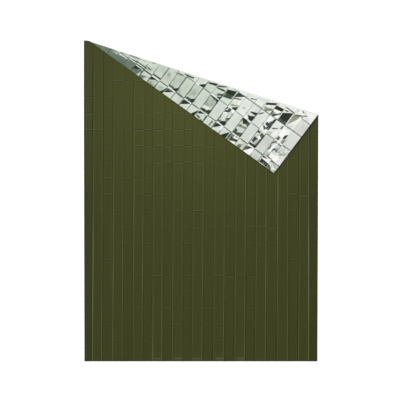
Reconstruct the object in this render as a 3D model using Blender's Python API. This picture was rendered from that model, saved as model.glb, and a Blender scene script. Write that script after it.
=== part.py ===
"""Emergency foil blanket: one sheet of thin film, olive on one face and bare silver on the other.

The sheet lies open with its olive face up. It keeps the creases of its packet: long folds part it
into pleats, and cross folds part each pleat into small panels. Its far right corner is turned over
in a soft roll that widens to the right, so that a triangle of the silver face lies on top. There the
film lies loose, so the points where its folds cross stand up or sink in by turns.

Metres, +Z up. The origin is on the floor, under the middle of the sheet. +X runs across the sheet
and +Y along it, towards the end with the turned corner.
"""
from collections import namedtuple
from math import atan2, cos, hypot, pi, radians, sin

import bmesh
import bpy
import numpy
from mathutils import Vector

# The sheet, as it was cut.
WIDTH = 1.535
LENGTH = 2.10
THICKNESS = 0.0012
TAPER = 0.0105            # the near end is narrower by this much than the sheet at its fold
TAPER_MIDDLE = -0.20      # x of the line that both sides are drawn in towards

# Long folds, one row each from left to right: distance from the left edge at half length, how far
# the far end of the fold leans from the near end, and the ridge's height. A fold of no height is a
# valley, which lies on the floor in a narrow flat strip.
LongFold = namedtuple("LongFold", "from_left lean rise")
LONG_FOLDS = (
    LongFold(0.0570, 0.017, 0.0),
    LongFold(0.1220, 0.010, 0.0022),
    LongFold(0.1890, 0.014, 0.0),
    LongFold(0.2570, 0.006, 0.0018),
    LongFold(0.3230, 0.014, 0.0),
    LongFold(0.3910, 0.018, 0.0020),
    LongFold(0.4520, 0.012, 0.0),
    LongFold(0.5180, 0.011, 0.0018),
    LongFold(0.5820, 0.016, 0.0),
    LongFold(0.6490, 0.014, 0.0015),
    LongFold(0.7140, 0.016, 0.0),
    LongFold(0.7860, 0.020, 0.0020),
    LongFold(0.8560, 0.020, 0.0),
    LongFold(0.9255, 0.013, 0.0022),
    LongFold(0.9930, 0.014, 0.0),
    LongFold(1.0630, 0.013, 0.0020),
    LongFold(1.1290, 0.014, 0.0),
    LongFold(1.1990, 0.008, 0.0018),
    LongFold(1.2670, 0.001, 0.0),
    LongFold(1.3400, -0.003, 0.0020),
    LongFold(1.4100, 0.008, 0.0),
    LongFold(1.4770, -0.010, 0.0026),
)
VALLEY_HALF_WIDTH = 0.005
LEFT_EDGE_RISE = 0.0020
RISE_CHANGE = 0.25        # share by which a ridge grows and shrinks along its length
RISE_WAVE = 0.83          # length of that change
RISE_STEP = 1.7           # radians by which the change is shifted from fold to fold

# Cross folds, evenly spaced from the near end, each a low dent or bump in every second panel.
CROSS_FIRST = 0.026
CROSS_PITCH = 0.1063
CROSS_COUNT = 20
CROSS_RISE = 0.0008

# Folds of the turned corner: the long ones from the right edge, the cross ones from the far edge.
FLAP_LONG_FIRST = 0.0625
FLAP_LONG_PITCH = 0.0649
FLAP_LONG_COUNT = 22
FLAP_CROSS_FOLDS = (0.054, 0.180, 0.292, 0.391)

# The turned corner. The fold starts on the far edge and runs down to the right edge.
TURN_START = 0.0256       # from the far left corner to the start of the fold
TURN_ANGLE = radians(17.85)
ROLL_RADIUS_START = 0.0035
ROLL_RADIUS_END = 0.0095
ROLL_STEPS = 8            # flat facets around the half turn
FLAP_SAG = 0.007          # the loose corner sinks by this much towards the sheet below
FLAP_DEPTH = 0.46         # from the fold to the loose corner
FLAP_LAG = 0.0267         # share of its distance from the fold by which the flap trails to the left
ROLL_FADE = 0.035         # the creases die out over this width on each side of the roll
LAYER_GAP = 0.0008        # least air between the layers
FULL_RELIEF_SPACE = 0.012  # air in which the creases of both layers keep their full height
FLAP_SHADOW = 0.10        # the creases are full again this far out from under the flap
POP_HEIGHT = 0.0045       # how far a crossing of two folds stands up or sinks in on the flap

OLIVE = (0.058, 0.065, 0.021, 1.0)
SILVER = (0.80, 0.83, 0.80, 1.0)
OLIVE_ROUGHNESS = 0.45
SILVER_ROUGHNESS = 0.15
CLOSE = 0.0003            # points nearer than this to a new crease are taken as lying on it
CLOSE_ON_ROLL = 0.0001

LEFT = -WIDTH / 2
RIGHT = WIDTH / 2
NEAR = -LENGTH / 2
FAR = LENGTH / 2

TURN_LENGTH = (WIDTH - TURN_START) / cos(TURN_ANGLE)
ROLL_SPREAD = (ROLL_RADIUS_END - ROLL_RADIUS_START) / TURN_LENGTH
APEX_SETBACK = ROLL_RADIUS_START / ROLL_SPREAD
FOLD_WAY = Vector((cos(TURN_ANGLE), -sin(TURN_ANGLE), 0.0))
OUTWARD = Vector((sin(TURN_ANGLE), cos(TURN_ANGLE), 0.0))
UP = Vector((0.0, 0.0, 1.0))
TURN_POINT = Vector((LEFT + TURN_START, FAR, 0.0))
TURN_FOOT = TURN_POINT + FOLD_WAY * TURN_LENGTH
APEX = TURN_POINT - FOLD_WAY * APEX_SETBACK
ROLL_BEGIN = -ROLL_SPREAD
ROLL_END = ROLL_BEGIN + pi * ROLL_SPREAD


def clamp(value, low=0.0, high=1.0):
    """Keep a value between two limits."""
    return max(low, min(high, value))


def ease(value):
    """Go smoothly from 0 to 1."""
    share = clamp(value)
    return share * share * (3.0 - 2.0 * share)


def fold_place(fold, y):
    """X of a long fold at a distance along the sheet."""
    return LEFT + fold.from_left + fold.lean * y / LENGTH


def cross_places():
    """Y of each cross fold, from the near end."""
    return [NEAR + CROSS_FIRST + CROSS_PITCH * number for number in range(CROSS_COUNT)]


def pleat_spans(y):
    """X of the left and right end of each pleat, without the flat strips of the valleys."""
    lefts = [LEFT]
    rights = []
    for fold in LONG_FOLDS:
        half_strip = 0.0 if fold.rise > 0.0 else VALLEY_HALF_WIDTH
        rights.append(fold_place(fold, y) - half_strip)
        lefts.append(fold_place(fold, y) + half_strip)
    return list(zip(lefts, rights + [RIGHT]))


def ridge_height(x, y):
    """Height of the pleated sheet before its cross folds."""
    places = [LEFT]
    heights = [LEFT_EDGE_RISE]
    for number, fold in enumerate(LONG_FOLDS):
        place = fold_place(fold, y)
        if fold.rise > 0.0:
            change = 1.0 + RISE_CHANGE * sin(2 * pi * y / RISE_WAVE + RISE_STEP * number)
            places.append(place)
            heights.append(fold.rise * change)
        else:
            places.extend((place - VALLEY_HALF_WIDTH, place + VALLEY_HALF_WIDTH))
            heights.extend((0.0, 0.0))
    places.append(RIGHT)
    heights.append(0.0)
    return float(numpy.interp(x, places, heights))


def cross_height(x, y):
    """Share of a cross fold's dent or bump: none at the long folds, most in mid pleat."""
    row = (y - NEAR - CROSS_FIRST) / CROSS_PITCH
    below = int(numpy.floor(row))
    share = 0.0
    for pleat, (left, right) in enumerate(pleat_spans(y)):
        tent = max(0.0, 1.0 - abs(2.0 * x - left - right) / (right - left))
        sign = 1.0 if (below + pleat) % 2 == 0 else -1.0
        share += tent * sign * (1.0 - 2.0 * (row - below))
    return share


def flap_folds():
    """X of each long fold of the turned corner, from left to right, and y of each cross fold."""
    first = RIGHT - FLAP_LONG_FIRST
    across = [first - FLAP_LONG_PITCH * number for number in range(FLAP_LONG_COUNT)]
    along = [FAR - place for place in FLAP_CROSS_FOLDS]
    return across[::-1], along


def flap_relief(x, y):
    """How far the loose film stands out of its plane, towards its olive side, where its folds cross."""
    across, along = flap_folds()
    relief = 0.0
    for number, long_place in enumerate(across):
        for cross_place in along:
            steps = max(abs(x - long_place) / FLAP_LONG_PITCH, abs(y - cross_place) / CROSS_PITCH)
            sign = -1.0 if number % 2 == 0 else 1.0
            relief += sign * POP_HEIGHT * max(0.0, 1.0 - 2.0 * steps)
    return relief


def sagging(to_roll):
    """How far the flap sinks, this far from the roll."""
    return FLAP_SAG * (to_roll / FLAP_DEPTH) ** 2


def air_share(reach, to_roll):
    """Share of the full relief that fits between the layers, this far from the apex and the roll."""
    space = 2 * ROLL_SPREAD * reach - sagging(to_roll) - 2 * THICKNESS - LAYER_GAP
    return clamp(space / FULL_RELIEF_SPACE)


def out_from_flap(point):
    """How far a point of the flat sheet lies beyond the flap's loose edge, as a share of the shadow."""
    across_edge = Vector((-sin(2 * TURN_ANGLE), -cos(2 * TURN_ANGLE), 0.0))
    return clamp((point - TURN_POINT).dot(across_edge) / FLAP_SHADOW)


def drawn_in(place):
    """How far a place of the sheet is drawn in from its sides, less and less towards the turned corner."""
    share = clamp((TURN_FOOT.y - place.y) / (TURN_FOOT.y - NEAR))
    return (place.x - TAPER_MIDDLE) * share * TAPER / WIDTH


def folded(point):
    """Place of a point of the flat sheet's silver face once the corner is turned over."""
    from_apex = point - APEX
    along = from_apex.dot(FOLD_WAY)
    outward = from_apex.dot(OUTWARD)
    reach = hypot(along, outward)
    angle = atan2(outward, along)
    to_roll = reach * max(ROLL_BEGIN - angle, angle - ROLL_END, 0.0)
    turn = clamp((angle - ROLL_BEGIN) / ROLL_SPREAD, 0.0, pi)
    plan_angle = min(angle, ROLL_BEGIN) + ROLL_SPREAD * sin(turn) - max(angle - ROLL_END, 0.0)
    olive_way = UP * cos(turn) - OUTWARD * sin(turn)
    height = reach * ROLL_SPREAD * (1.0 - cos(turn))
    fade = ease(to_roll / ROLL_FADE)
    air = air_share(reach, to_roll)
    if angle > ROLL_BEGIN:
        relief = flap_relief(point.x, point.y) * fade * air
        height -= sagging(to_roll)
        lag = FLAP_LAG * to_roll
    else:
        full = air + (1.0 - air) * out_from_flap(point)
        ridges = ridge_height(point.x, point.y) + CROSS_RISE * cross_height(point.x, point.y)
        relief = max(0.0, ridges) * fade * full
        lag = 0.0
    place = APEX + FOLD_WAY * (reach * cos(plan_angle) - lag) + OUTWARD * (reach * sin(plan_angle))
    place += UP * height + olive_way * relief
    place.x -= drawn_in(place)
    return place


def score(mesh, faces, through, side, close=CLOSE):
    """Part some faces of the flat sheet along a straight line, and return all that they become."""
    edges = {edge for face in faces for edge in face.edges}
    points = {point for face in faces for point in face.verts}
    parts = bmesh.ops.bisect_plane(
        mesh, geom=list(points) + list(edges) + faces, plane_co=through, plane_no=side, dist=close
    )
    return [part for part in parts["geom"] if isinstance(part, bmesh.types.BMFace)]


def score_long(mesh, faces, near, far):
    """Score a line that would cross the near end and the far end at the given places."""
    side = Vector((LENGTH, near - far, 0.0)).normalized()
    return score(mesh, faces, Vector((near, NEAR, 0.0)), side)


def score_cross(mesh, faces, place):
    """Score a line straight across the sheet."""
    return score(mesh, faces, Vector((0.0, place, 0.0)), Vector((0.0, 1.0, 0.0)))


def score_base(mesh, faces):
    """Score the folds of the part that lies on the floor, and a line along the middle of each pleat."""
    for fold in LONG_FOLDS:
        for side in (0.0,) if fold.rise > 0.0 else (-VALLEY_HALF_WIDTH, VALLEY_HALF_WIDTH):
            near = fold_place(fold, NEAR) + side
            faces = score_long(mesh, faces, near, fold_place(fold, FAR) + side)
    for near_span, far_span in zip(pleat_spans(NEAR), pleat_spans(FAR)):
        faces = score_long(mesh, faces, sum(near_span) / 2, sum(far_span) / 2)
    for place in cross_places():
        faces = score_cross(mesh, faces, place)


def score_flap(mesh, faces):
    """Score the folds of the turned corner, and lines half way between them."""
    across, along = flap_folds()
    for place in across:
        faces = score_long(mesh, faces, place, place)
        faces = score_long(mesh, faces, place + FLAP_LONG_PITCH / 2, place + FLAP_LONG_PITCH / 2)
    for place in along:
        faces = score_cross(mesh, faces, place)
        faces = score_cross(mesh, faces, place - CROSS_PITCH / 2)


def scored_sheet():
    """Flat sheet, parted along every crease and around the roll."""
    mesh = bmesh.new()
    corners = ((LEFT, NEAR), (RIGHT, NEAR), (RIGHT, FAR), (LEFT, FAR))
    faces = [mesh.faces.new([mesh.verts.new((x, y, 0.0)) for x, y in corners])]
    for step in range(ROLL_STEPS + 1):
        angle = ROLL_BEGIN + pi * ROLL_SPREAD * step / ROLL_STEPS
        side = OUTWARD * cos(angle) - FOLD_WAY * sin(angle)
        faces = score(mesh, faces, APEX, side, CLOSE_ON_ROLL)
    last_side = OUTWARD * cos(ROLL_END) - FOLD_WAY * sin(ROLL_END)
    flap = [face for face in faces if (face.calc_center_median() - APEX).dot(last_side) > 0.0]
    score_base(mesh, [face for face in faces if face not in flap])
    score_flap(mesh, flap)
    bmesh.ops.triangulate(mesh, faces=mesh.faces[:], quad_method="SHORT_EDGE", ngon_method="BEAUTY")
    return mesh


def film_material(name, colour, roughness, metallic):
    """A face of the film."""
    material = bpy.data.materials.new(name)
    material.use_nodes = True
    surface = material.node_tree.nodes["Principled BSDF"]
    surface.inputs["Base Color"].default_value = colour
    surface.inputs["Roughness"].default_value = roughness
    surface.inputs["Metallic"].default_value = metallic
    return material


def make_blanket():
    """The whole sheet: silver face down on the floor, olive face up, one corner turned over."""
    film = scored_sheet()
    for vertex in film.verts:
        vertex.co = folded(vertex.co.copy())
    data = bpy.data.meshes.new("blanket")
    film.to_mesh(data)
    film.free()
    blanket = bpy.data.objects.new("blanket", data)
    bpy.context.collection.objects.link(blanket)
    data.materials.append(film_material("olive face", OLIVE, OLIVE_ROUGHNESS, 0.0))
    data.materials.append(film_material("silver face", SILVER, SILVER_ROUGHNESS, 1.0))
    wall = blanket.modifiers.new("film", "SOLIDIFY")
    wall.thickness = THICKNESS
    wall.offset = 1.0
    wall.use_even_offset = True
    wall.material_offset = 1
    wall.material_offset_rim = 1
    return blanket


def clear_scene():
    """Remove whatever the scene holds."""
    for item in list(bpy.data.objects):
        bpy.data.objects.remove(item, do_unlink=True)


clear_scene()
make_blanket()
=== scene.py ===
"""Emergency foil blanket: a thin creased sheet of film, olive on one face and bare silver on the other.

The sheet lies flat with its olive face up, and its far right corner is turned over in a soft roll,
so that a triangle of the silver face lies on top. The camera looks straight down on it.

Metres, +Z up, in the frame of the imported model. "Flat" places are places on the sheet before its
corner was turned: x across from the middle, y along from the middle towards the far edge.
"""
import logging
import math
from dataclasses import dataclass
from enum import Enum
from typing import Iterable, NamedTuple

import bmesh
import bpy
import numpy as np
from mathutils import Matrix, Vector


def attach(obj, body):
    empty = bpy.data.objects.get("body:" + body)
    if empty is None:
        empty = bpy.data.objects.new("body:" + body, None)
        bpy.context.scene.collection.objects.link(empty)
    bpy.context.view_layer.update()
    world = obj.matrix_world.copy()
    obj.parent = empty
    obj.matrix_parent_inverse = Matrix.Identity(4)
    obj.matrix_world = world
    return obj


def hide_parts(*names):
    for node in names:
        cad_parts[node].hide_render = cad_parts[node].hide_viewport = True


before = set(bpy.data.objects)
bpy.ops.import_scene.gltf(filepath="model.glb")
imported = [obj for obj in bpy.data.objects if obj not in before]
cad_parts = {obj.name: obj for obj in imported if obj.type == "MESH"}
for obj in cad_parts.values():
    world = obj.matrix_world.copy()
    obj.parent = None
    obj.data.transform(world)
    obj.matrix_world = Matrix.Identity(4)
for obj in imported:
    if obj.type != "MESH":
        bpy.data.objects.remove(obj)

LOG = logging.getLogger("foil_blanket")
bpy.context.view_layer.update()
MARKED = 0.9    # share of the mesh lines' reach beside a fold, within which its lines are drawn: painted highlight and shade on the olive face, tilt on the silver one
NOISE = (0.3, 0.7)    # range that most of a noise lies in


def ease(value: np.ndarray) -> np.ndarray:
    """Go smoothly from 0 to 1.

    Args:
        value: shares, of which those outside 0 to 1 are cut off.

    Returns:
        The eased shares.
    """
    share = np.clip(value, 0.0, 1.0)
    return share * share * (3.0 - 2.0 * share)


def tent(distance: np.ndarray, reach: float) -> np.ndarray:
    """Rise in a straight slope to 1 at distance 0, and stay 0 beyond a reach.

    Args:
        distance: signed distances.
        reach: where the tent meets the ground.

    Returns:
        Shares from 0 to 1.
    """
    return np.maximum(0.0, 1.0 - np.abs(distance) / reach)


def zigzag(phase: np.ndarray) -> np.ndarray:
    """Triangle wave between -1 and 1, one wave to each unit of phase.

    Args:
        phase: position in waves.

    Returns:
        The wave's height.
    """
    return 4.0 * np.abs(phase - np.floor(phase + 0.5)) - 1.0


def mesh_lines(
    folds: Iterable[float], low: float, high: float, offsets: tuple[float, ...], parts: int
) -> list[float]:
    """List the lines that a mesh is parted by, close together at its folds.

    Args:
        folds: where the folds are, in order.
        low: where the mesh starts.
        high: where it ends.
        offsets: places of the lines beside a fold, in order.
        parts: how many parts there are from the lines beside one fold to those beside the next.

    Returns:
        The lines' places, in order.
    """
    inner = [fold for fold in folds if low < fold < high]
    lines = [fold + offset for fold in inner for offset in offsets]
    starts = [low, *(fold + offsets[-1] for fold in inner)]
    stops = [*(fold + offsets[0] for fold in inner), high]
    for start, stop in zip(starts, stops):
        lines += [start + (stop - start) * part / parts for part in range(1, parts)]
    least = 0.3 * (offsets[-1] - offsets[-2])
    return sorted(line for line in lines if low + least < line < high - least)


@dataclass(frozen=True)
class Cut:
    """The sheet of film as it was cut."""

    width: float = 1.535
    length: float = 2.10
    film: float = 0.0006
    taper: float = 0.0105          # by which the near end is narrower
    taper_middle: float = -0.20

    @property
    def left(self) -> float:
        """X of the left edge."""
        return -self.width / 2

    @property
    def right(self) -> float:
        """X of the right edge."""
        return self.width / 2

    @property
    def near(self) -> float:
        """Y of the near edge."""
        return -self.length / 2

    @property
    def far(self) -> float:
        """Y of the far edge."""
        return self.length / 2


@dataclass(frozen=True)
class TurnedCorner:
    """The far right corner, turned over in a roll that widens to the right like a slim cone."""

    cut: Cut = Cut()
    start: float = 0.0256          # from the far left corner to the start of the fold
    turn: float = math.radians(17.85)
    radius_start: float = 0.0035
    radius_end: float = 0.0095
    steps: int = 14
    depth: float = 0.46            # from the fold to the loose corner
    sag: float = 0.006             # the loose corner sinks by this much
    lag: float = 0.0267            # the flap trails to the left by this share of its depth
    fade: float = 0.030            # creases die out over this width beside the roll
    on_roll: float = 0.22          # share of the creases left on the roll
    least_air: float = 0.0008
    full_air: float = 0.010        # air in which both layers keep their full creases
    shadow: float = 0.10
    droop: float = 0.90            # share of the air by which the free edge sinks in its narrow part
    droop_width: float = 0.054
    droop_least: float = 0.012
    droop_slope: float = 0.11
    droop_end: float = -0.22
    droop_fade: float = 0.16

    @property
    def way(self) -> np.ndarray:
        """Direction of the fold, from the far edge to the right edge."""
        return np.array((math.cos(self.turn), -math.sin(self.turn)))

    @property
    def out(self) -> np.ndarray:
        """Direction away from the sheet, square to the fold."""
        return np.array((math.sin(self.turn), math.cos(self.turn)))

    @property
    def run(self) -> float:
        """Length of the fold."""
        return (self.cut.width - self.start) / math.cos(self.turn)

    @property
    def spread(self) -> float:
        """How fast the roll's radius grows along it."""
        return (self.radius_end - self.radius_start) / self.run

    @property
    def head(self) -> np.ndarray:
        """Where the fold starts, on the far edge."""
        return np.array((self.cut.left + self.start, self.cut.far))

    @property
    def apex(self) -> np.ndarray:
        """Tip of the cone that the roll is part of."""
        return self.head - self.way * (self.radius_start / self.spread)

    @property
    def roll_begin(self) -> float:
        """Angle at the apex where the sheet leaves the floor."""
        return -self.spread

    @property
    def roll_end(self) -> float:
        """Angle at the apex where the roll has gone half round."""
        return self.roll_begin + math.pi * self.spread

    def polar(self, flat: np.ndarray) -> tuple[np.ndarray, np.ndarray]:
        """Measure flat places from the apex.

        Args:
            flat: one row of x and y for each place.

        Returns:
            Distances from the apex and angles from the fold.
        """
        offset = flat - self.apex
        along, outward = offset @ self.way, offset @ self.out
        return np.hypot(along, outward), np.arctan2(outward, along)

    def sinking(
        self, flat: np.ndarray, reach: np.ndarray, to_roll: np.ndarray
    ) -> tuple[np.ndarray, np.ndarray]:
        """Find how far the flap sinks, and how much of the creases fits under it.

        Args:
            flat: one row of x and y for each place.
            reach: distances from the apex.
            to_roll: distances from the roll.

        Returns:
            Depths, and shares from 0 to 1.
        """
        sunk = self.sag * (to_roll / self.depth) ** 2
        space = 2 * self.spread * reach - sunk - 2 * self.cut.film - self.least_air
        width = np.clip((flat[:, 0] - self.head[0]) * math.tan(self.turn), self.droop_least, self.droop_width)
        to_edge = np.clip(1.0 - (self.cut.far - flat[:, 1]) / width, 0.0, 1.0)
        narrow = ease((self.droop_end - flat[:, 0]) / self.droop_fade)
        deepest = np.minimum(self.droop * np.maximum(0.0, space), self.droop_slope * width)
        droop = deepest * to_edge * narrow
        return sunk + droop, np.clip((space - droop) / self.full_air, 0.0, 1.0)

    def beyond_flap(self, flat: np.ndarray) -> np.ndarray:
        """Find how far flat places lie out from under the flap.

        Args:
            flat: one row of x and y for each place.

        Returns:
            Shares: 0 under the flap, 1 where its shadow ends.
        """
        across = np.array((-math.sin(2 * self.turn), -math.cos(2 * self.turn)))
        return np.clip((flat - self.head) @ across / self.shadow, 0.0, 1.0)

    def lay(self, flat: np.ndarray, ridges: np.ndarray, pops: np.ndarray) -> np.ndarray:
        """Turn the corner over.

        Args:
            flat: one row of x and y for each place.
            ridges: height of the creases of the part on the floor.
            pops: height of the creases of the turned part, up from its silver face.

        Returns:
            One row of x, y and z for each place.
        """
        reach, angle = self.polar(flat)
        begin, end = self.roll_begin, self.roll_end
        to_roll = reach * np.maximum(np.maximum(begin - angle, angle - end), 0.0)
        turned = np.clip((angle - begin) / self.spread, 0.0, math.pi)
        turned_share = turned / math.pi
        plan = np.minimum(angle, begin) + self.spread * np.sin(turned) - np.maximum(angle - end, 0.0)
        over = angle > begin
        lag = np.where(over, self.lag * to_roll, 0.0)
        sunk, air = self.sinking(flat, reach, to_roll)
        low_ridges = ridges * (air + (1.0 - air) * self.beyond_flap(flat))
        low_pops = np.where(pops < 0.0, pops * air, pops)
        fade = self.on_roll + (1.0 - self.on_roll) * ease(to_roll / self.fade)
        relief = fade * ((1.0 - turned_share) * low_ridges - turned_share * low_pops)
        place = np.empty((len(flat), 3))
        place[:, :2] = (
            self.apex
            + np.outer(reach * np.cos(plan) - lag, self.way)
            + np.outer(reach * np.sin(plan) - np.sin(turned) * relief, self.out)
        )
        lift = reach * self.spread - np.where(over, sunk, 0.0) / 2
        place[:, 2] = lift * (1.0 - np.cos(turned)) + np.cos(turned) * relief
        foot = self.head[1] - self.run * math.sin(self.turn)
        drawn = np.clip((foot - place[:, 1]) / (foot - self.cut.near), 0.0, 1.0)
        place[:, 0] -= (place[:, 0] - self.cut.taper_middle) * drawn * self.cut.taper / self.cut.width
        return place


class LongFold(NamedTuple):
    """A fold along the sheet. One of no rise is a valley, which touches the floor."""

    from_left: float               # at half length
    lean: float                    # of its far end from its near end
    rise: float
    highlight_and_wear: tuple[float, ...]        # painted highlight along its lit side, partly real wear of the coat, at the listed places along the sheet
    painted_shade: float                    # painted shade: how dark its other side is


LINE_PLACES = (0.90, 0.45, 0.0, -0.45, -0.95)    # y, from the far end to the near one
LONG_FOLDS = (
    LongFold(0.0570, 0.017, 0.0000, (0.12, 0.35, 0.55, 2.80, 1.20), 0.7),
    LongFold(0.1220, 0.010, 0.0010, (0.10, 0.30, 0.60, 0.30, 1.00), 2.4),
    LongFold(0.1890, 0.014, 0.0000, (0.20, 0.10, 0.65, 1.10, 0.95), 0.8),
    LongFold(0.2570, 0.006, 0.0008, (0.15, 0.10, 0.25, 0.85, 0.15), 0.4),
    LongFold(0.3230, 0.014, 0.0000, (0.10, 0.35, 0.90, 0.70, 0.40), 0.5),
    LongFold(0.3910, 0.018, 0.0009, (0.10, 0.25, 0.30, 0.90, 0.20), 0.4),
    LongFold(0.4520, 0.012, 0.0000, (0.20, 0.15, 0.40, 0.30, 1.20), 0.5),
    LongFold(0.5180, 0.011, 0.0008, (0.25, 0.10, 0.30, 0.55, 0.85), 0.4),
    LongFold(0.5820, 0.016, 0.0000, (0.10, 0.10, 0.30, 0.60, 0.60), 1.0),
    LongFold(0.6490, 0.014, 0.0007, (0.10, 0.10, 0.25, 0.40, 0.25), 0.4),
    LongFold(0.7140, 0.016, 0.0000, (0.20, 0.10, 0.20, 0.45, 0.40), 0.4),
    LongFold(0.7860, 0.020, 0.0009, (0.10, 0.10, 0.45, 0.55, 0.65), 0.5),
    LongFold(0.8560, 0.020, 0.0000, (0.10, 0.10, 0.30, 0.45, 0.20), 0.9),
    LongFold(0.9255, 0.013, 0.0010, (0.10, 0.05, 0.15, 0.60, 0.95), 0.8),
    LongFold(0.9930, 0.014, 0.0000, (0.20, 0.20, 0.30, 0.50, 0.35), 0.5),
    LongFold(1.0630, 0.013, 0.0009, (0.50, 0.50, 0.60, 0.45, 0.80), 0.6),
    LongFold(1.1290, 0.014, 0.0000, (0.40, 0.40, 0.60, 0.55, 0.20), 0.6),
    LongFold(1.1990, 0.008, 0.0008, (0.20, 0.20, 0.50, 1.10, 0.60), 0.8),
    LongFold(1.2670, 0.001, 0.0000, (0.40, 0.40, 1.20, 0.60, 0.35), 0.7),
    LongFold(1.3400, -0.003, 0.0009, (0.70, 0.70, 0.50, 0.50, 0.80), 0.5),
    LongFold(1.4100, 0.008, 0.0000, (0.30, 0.45, 0.40, 0.45, 0.60), 1.9),
    LongFold(1.4770, -0.010, 0.0012, (0.40, 0.30, 0.85, 3.20, 1.30), 0.8),
)


def between_places(y: np.ndarray, values: tuple[float, ...]) -> np.ndarray:
    """Read a value that is known at LINE_PLACES.

    Args:
        y: flat places along.
        values: the value at each of LINE_PLACES.

    Returns:
        The value at each place.
    """
    return np.interp(-y, -np.array(LINE_PLACES), values)


class CrossStretch(NamedTuple):
    """A stretch of a cross fold that shows more than the rest, in relief and in its painted highlight and
    shade lines, and changes sides from pleat to pleat.
    """

    row: int                       # counted from the near end
    first_pleat: int
    last_pleat: int
    strength: float                # in its first pleat: negative where its far side carries the painted shade line


CROSS_STRETCHES = tuple(CrossStretch(*row) for row in (
    (1, 3, 3, 0.7), (1, 16, 16, 0.6), (2, 9, 9, 1.2), (2, 13, 13, 1.2), (3, 5, 5, 0.8), (3, 8, 8, 1.5),
    (3, 10, 10, 1.6), (3, 12, 12, 1.4), (3, 14, 16, 0.9), (4, 2, 2, 0.6), (4, 10, 10, 0.6),
    (5, 7, 7, 1.7), (5, 10, 10, 0.7), (5, 13, 14, 1.5), (5, 15, 16, 0.7), (6, 2, 2, 0.8),
    (6, 20, 20, 0.7), (7, 4, 4, 0.7), (7, 6, 6, 1.4), (7, 8, 9, 0.6), (7, 10, 10, 1.4), (7, 16, 18, 0.8),
    (8, 4, 4, 1.0), (8, 10, 12, 0.8), (8, 14, 14, 1.3), (8, 16, 16, 1.2), (8, 17, 18, 1.7),
    (9, 2, 2, 0.6), (9, 9, 9, 1.0), (9, 11, 11, 1.7), (9, 14, 14, 0.7), (9, 20, 20, 0.8), (10, 2, 2, 1.3),
    (10, 5, 7, 1.3), (10, 20, 21, 1.3), (11, 2, 2, 1.2), (11, 4, 6, 1.0), (12, 2, 2, -1.0),
    (12, 7, 11, -1.0), (13, 5, 12, 1.1), (14, 0, 0, 1.5), (14, 1, 1, 1.2), (14, 5, 7, -1.3),
    (14, 8, 10, 1.1), (15, 0, 0, -2.4), (15, 5, 10, 0.9), (16, 0, 0, -1.9), (16, 1, 5, -0.6),
    (17, 3, 3, 1.4), (17, 4, 5, -0.8), (18, 0, 1, -0.5),
))


class EdgeHighlight(NamedTuple):
    """A painted highlight beside the near edge, which ends at the right side of its pleat."""

    pleat: int
    start: float                   # share of the pleat where it starts
    strength: float


EDGE_HIGHLIGHTS = (
    EdgeHighlight(5, 0.2, 0.06), EdgeHighlight(7, 0.0, 0.24), EdgeHighlight(9, 0.2, 0.34), EdgeHighlight(11, -0.1, 0.26),
    EdgeHighlight(13, 0.2, 0.40), EdgeHighlight(15, 0.1, 0.38), EdgeHighlight(17, 0.3, 0.08),
)


class CreaseMarks(NamedTuple):
    """Where the creases are, for the finishes: how far off a place is, and how strong the crease is."""

    long_side: np.ndarray
    long_lit: np.ndarray           # of the line on the crease's lit side: a painted highlight, partly real wear, on the olive face, and the fold's tilt on the silver face
    long_painted_shade: np.ndarray          # of the painted shade line beside it
    cross_side: np.ndarray
    cross_strength: np.ndarray
    painted_highlight: np.ndarray             # share of the coat painted bright as a highlight beside the near edge


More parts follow.
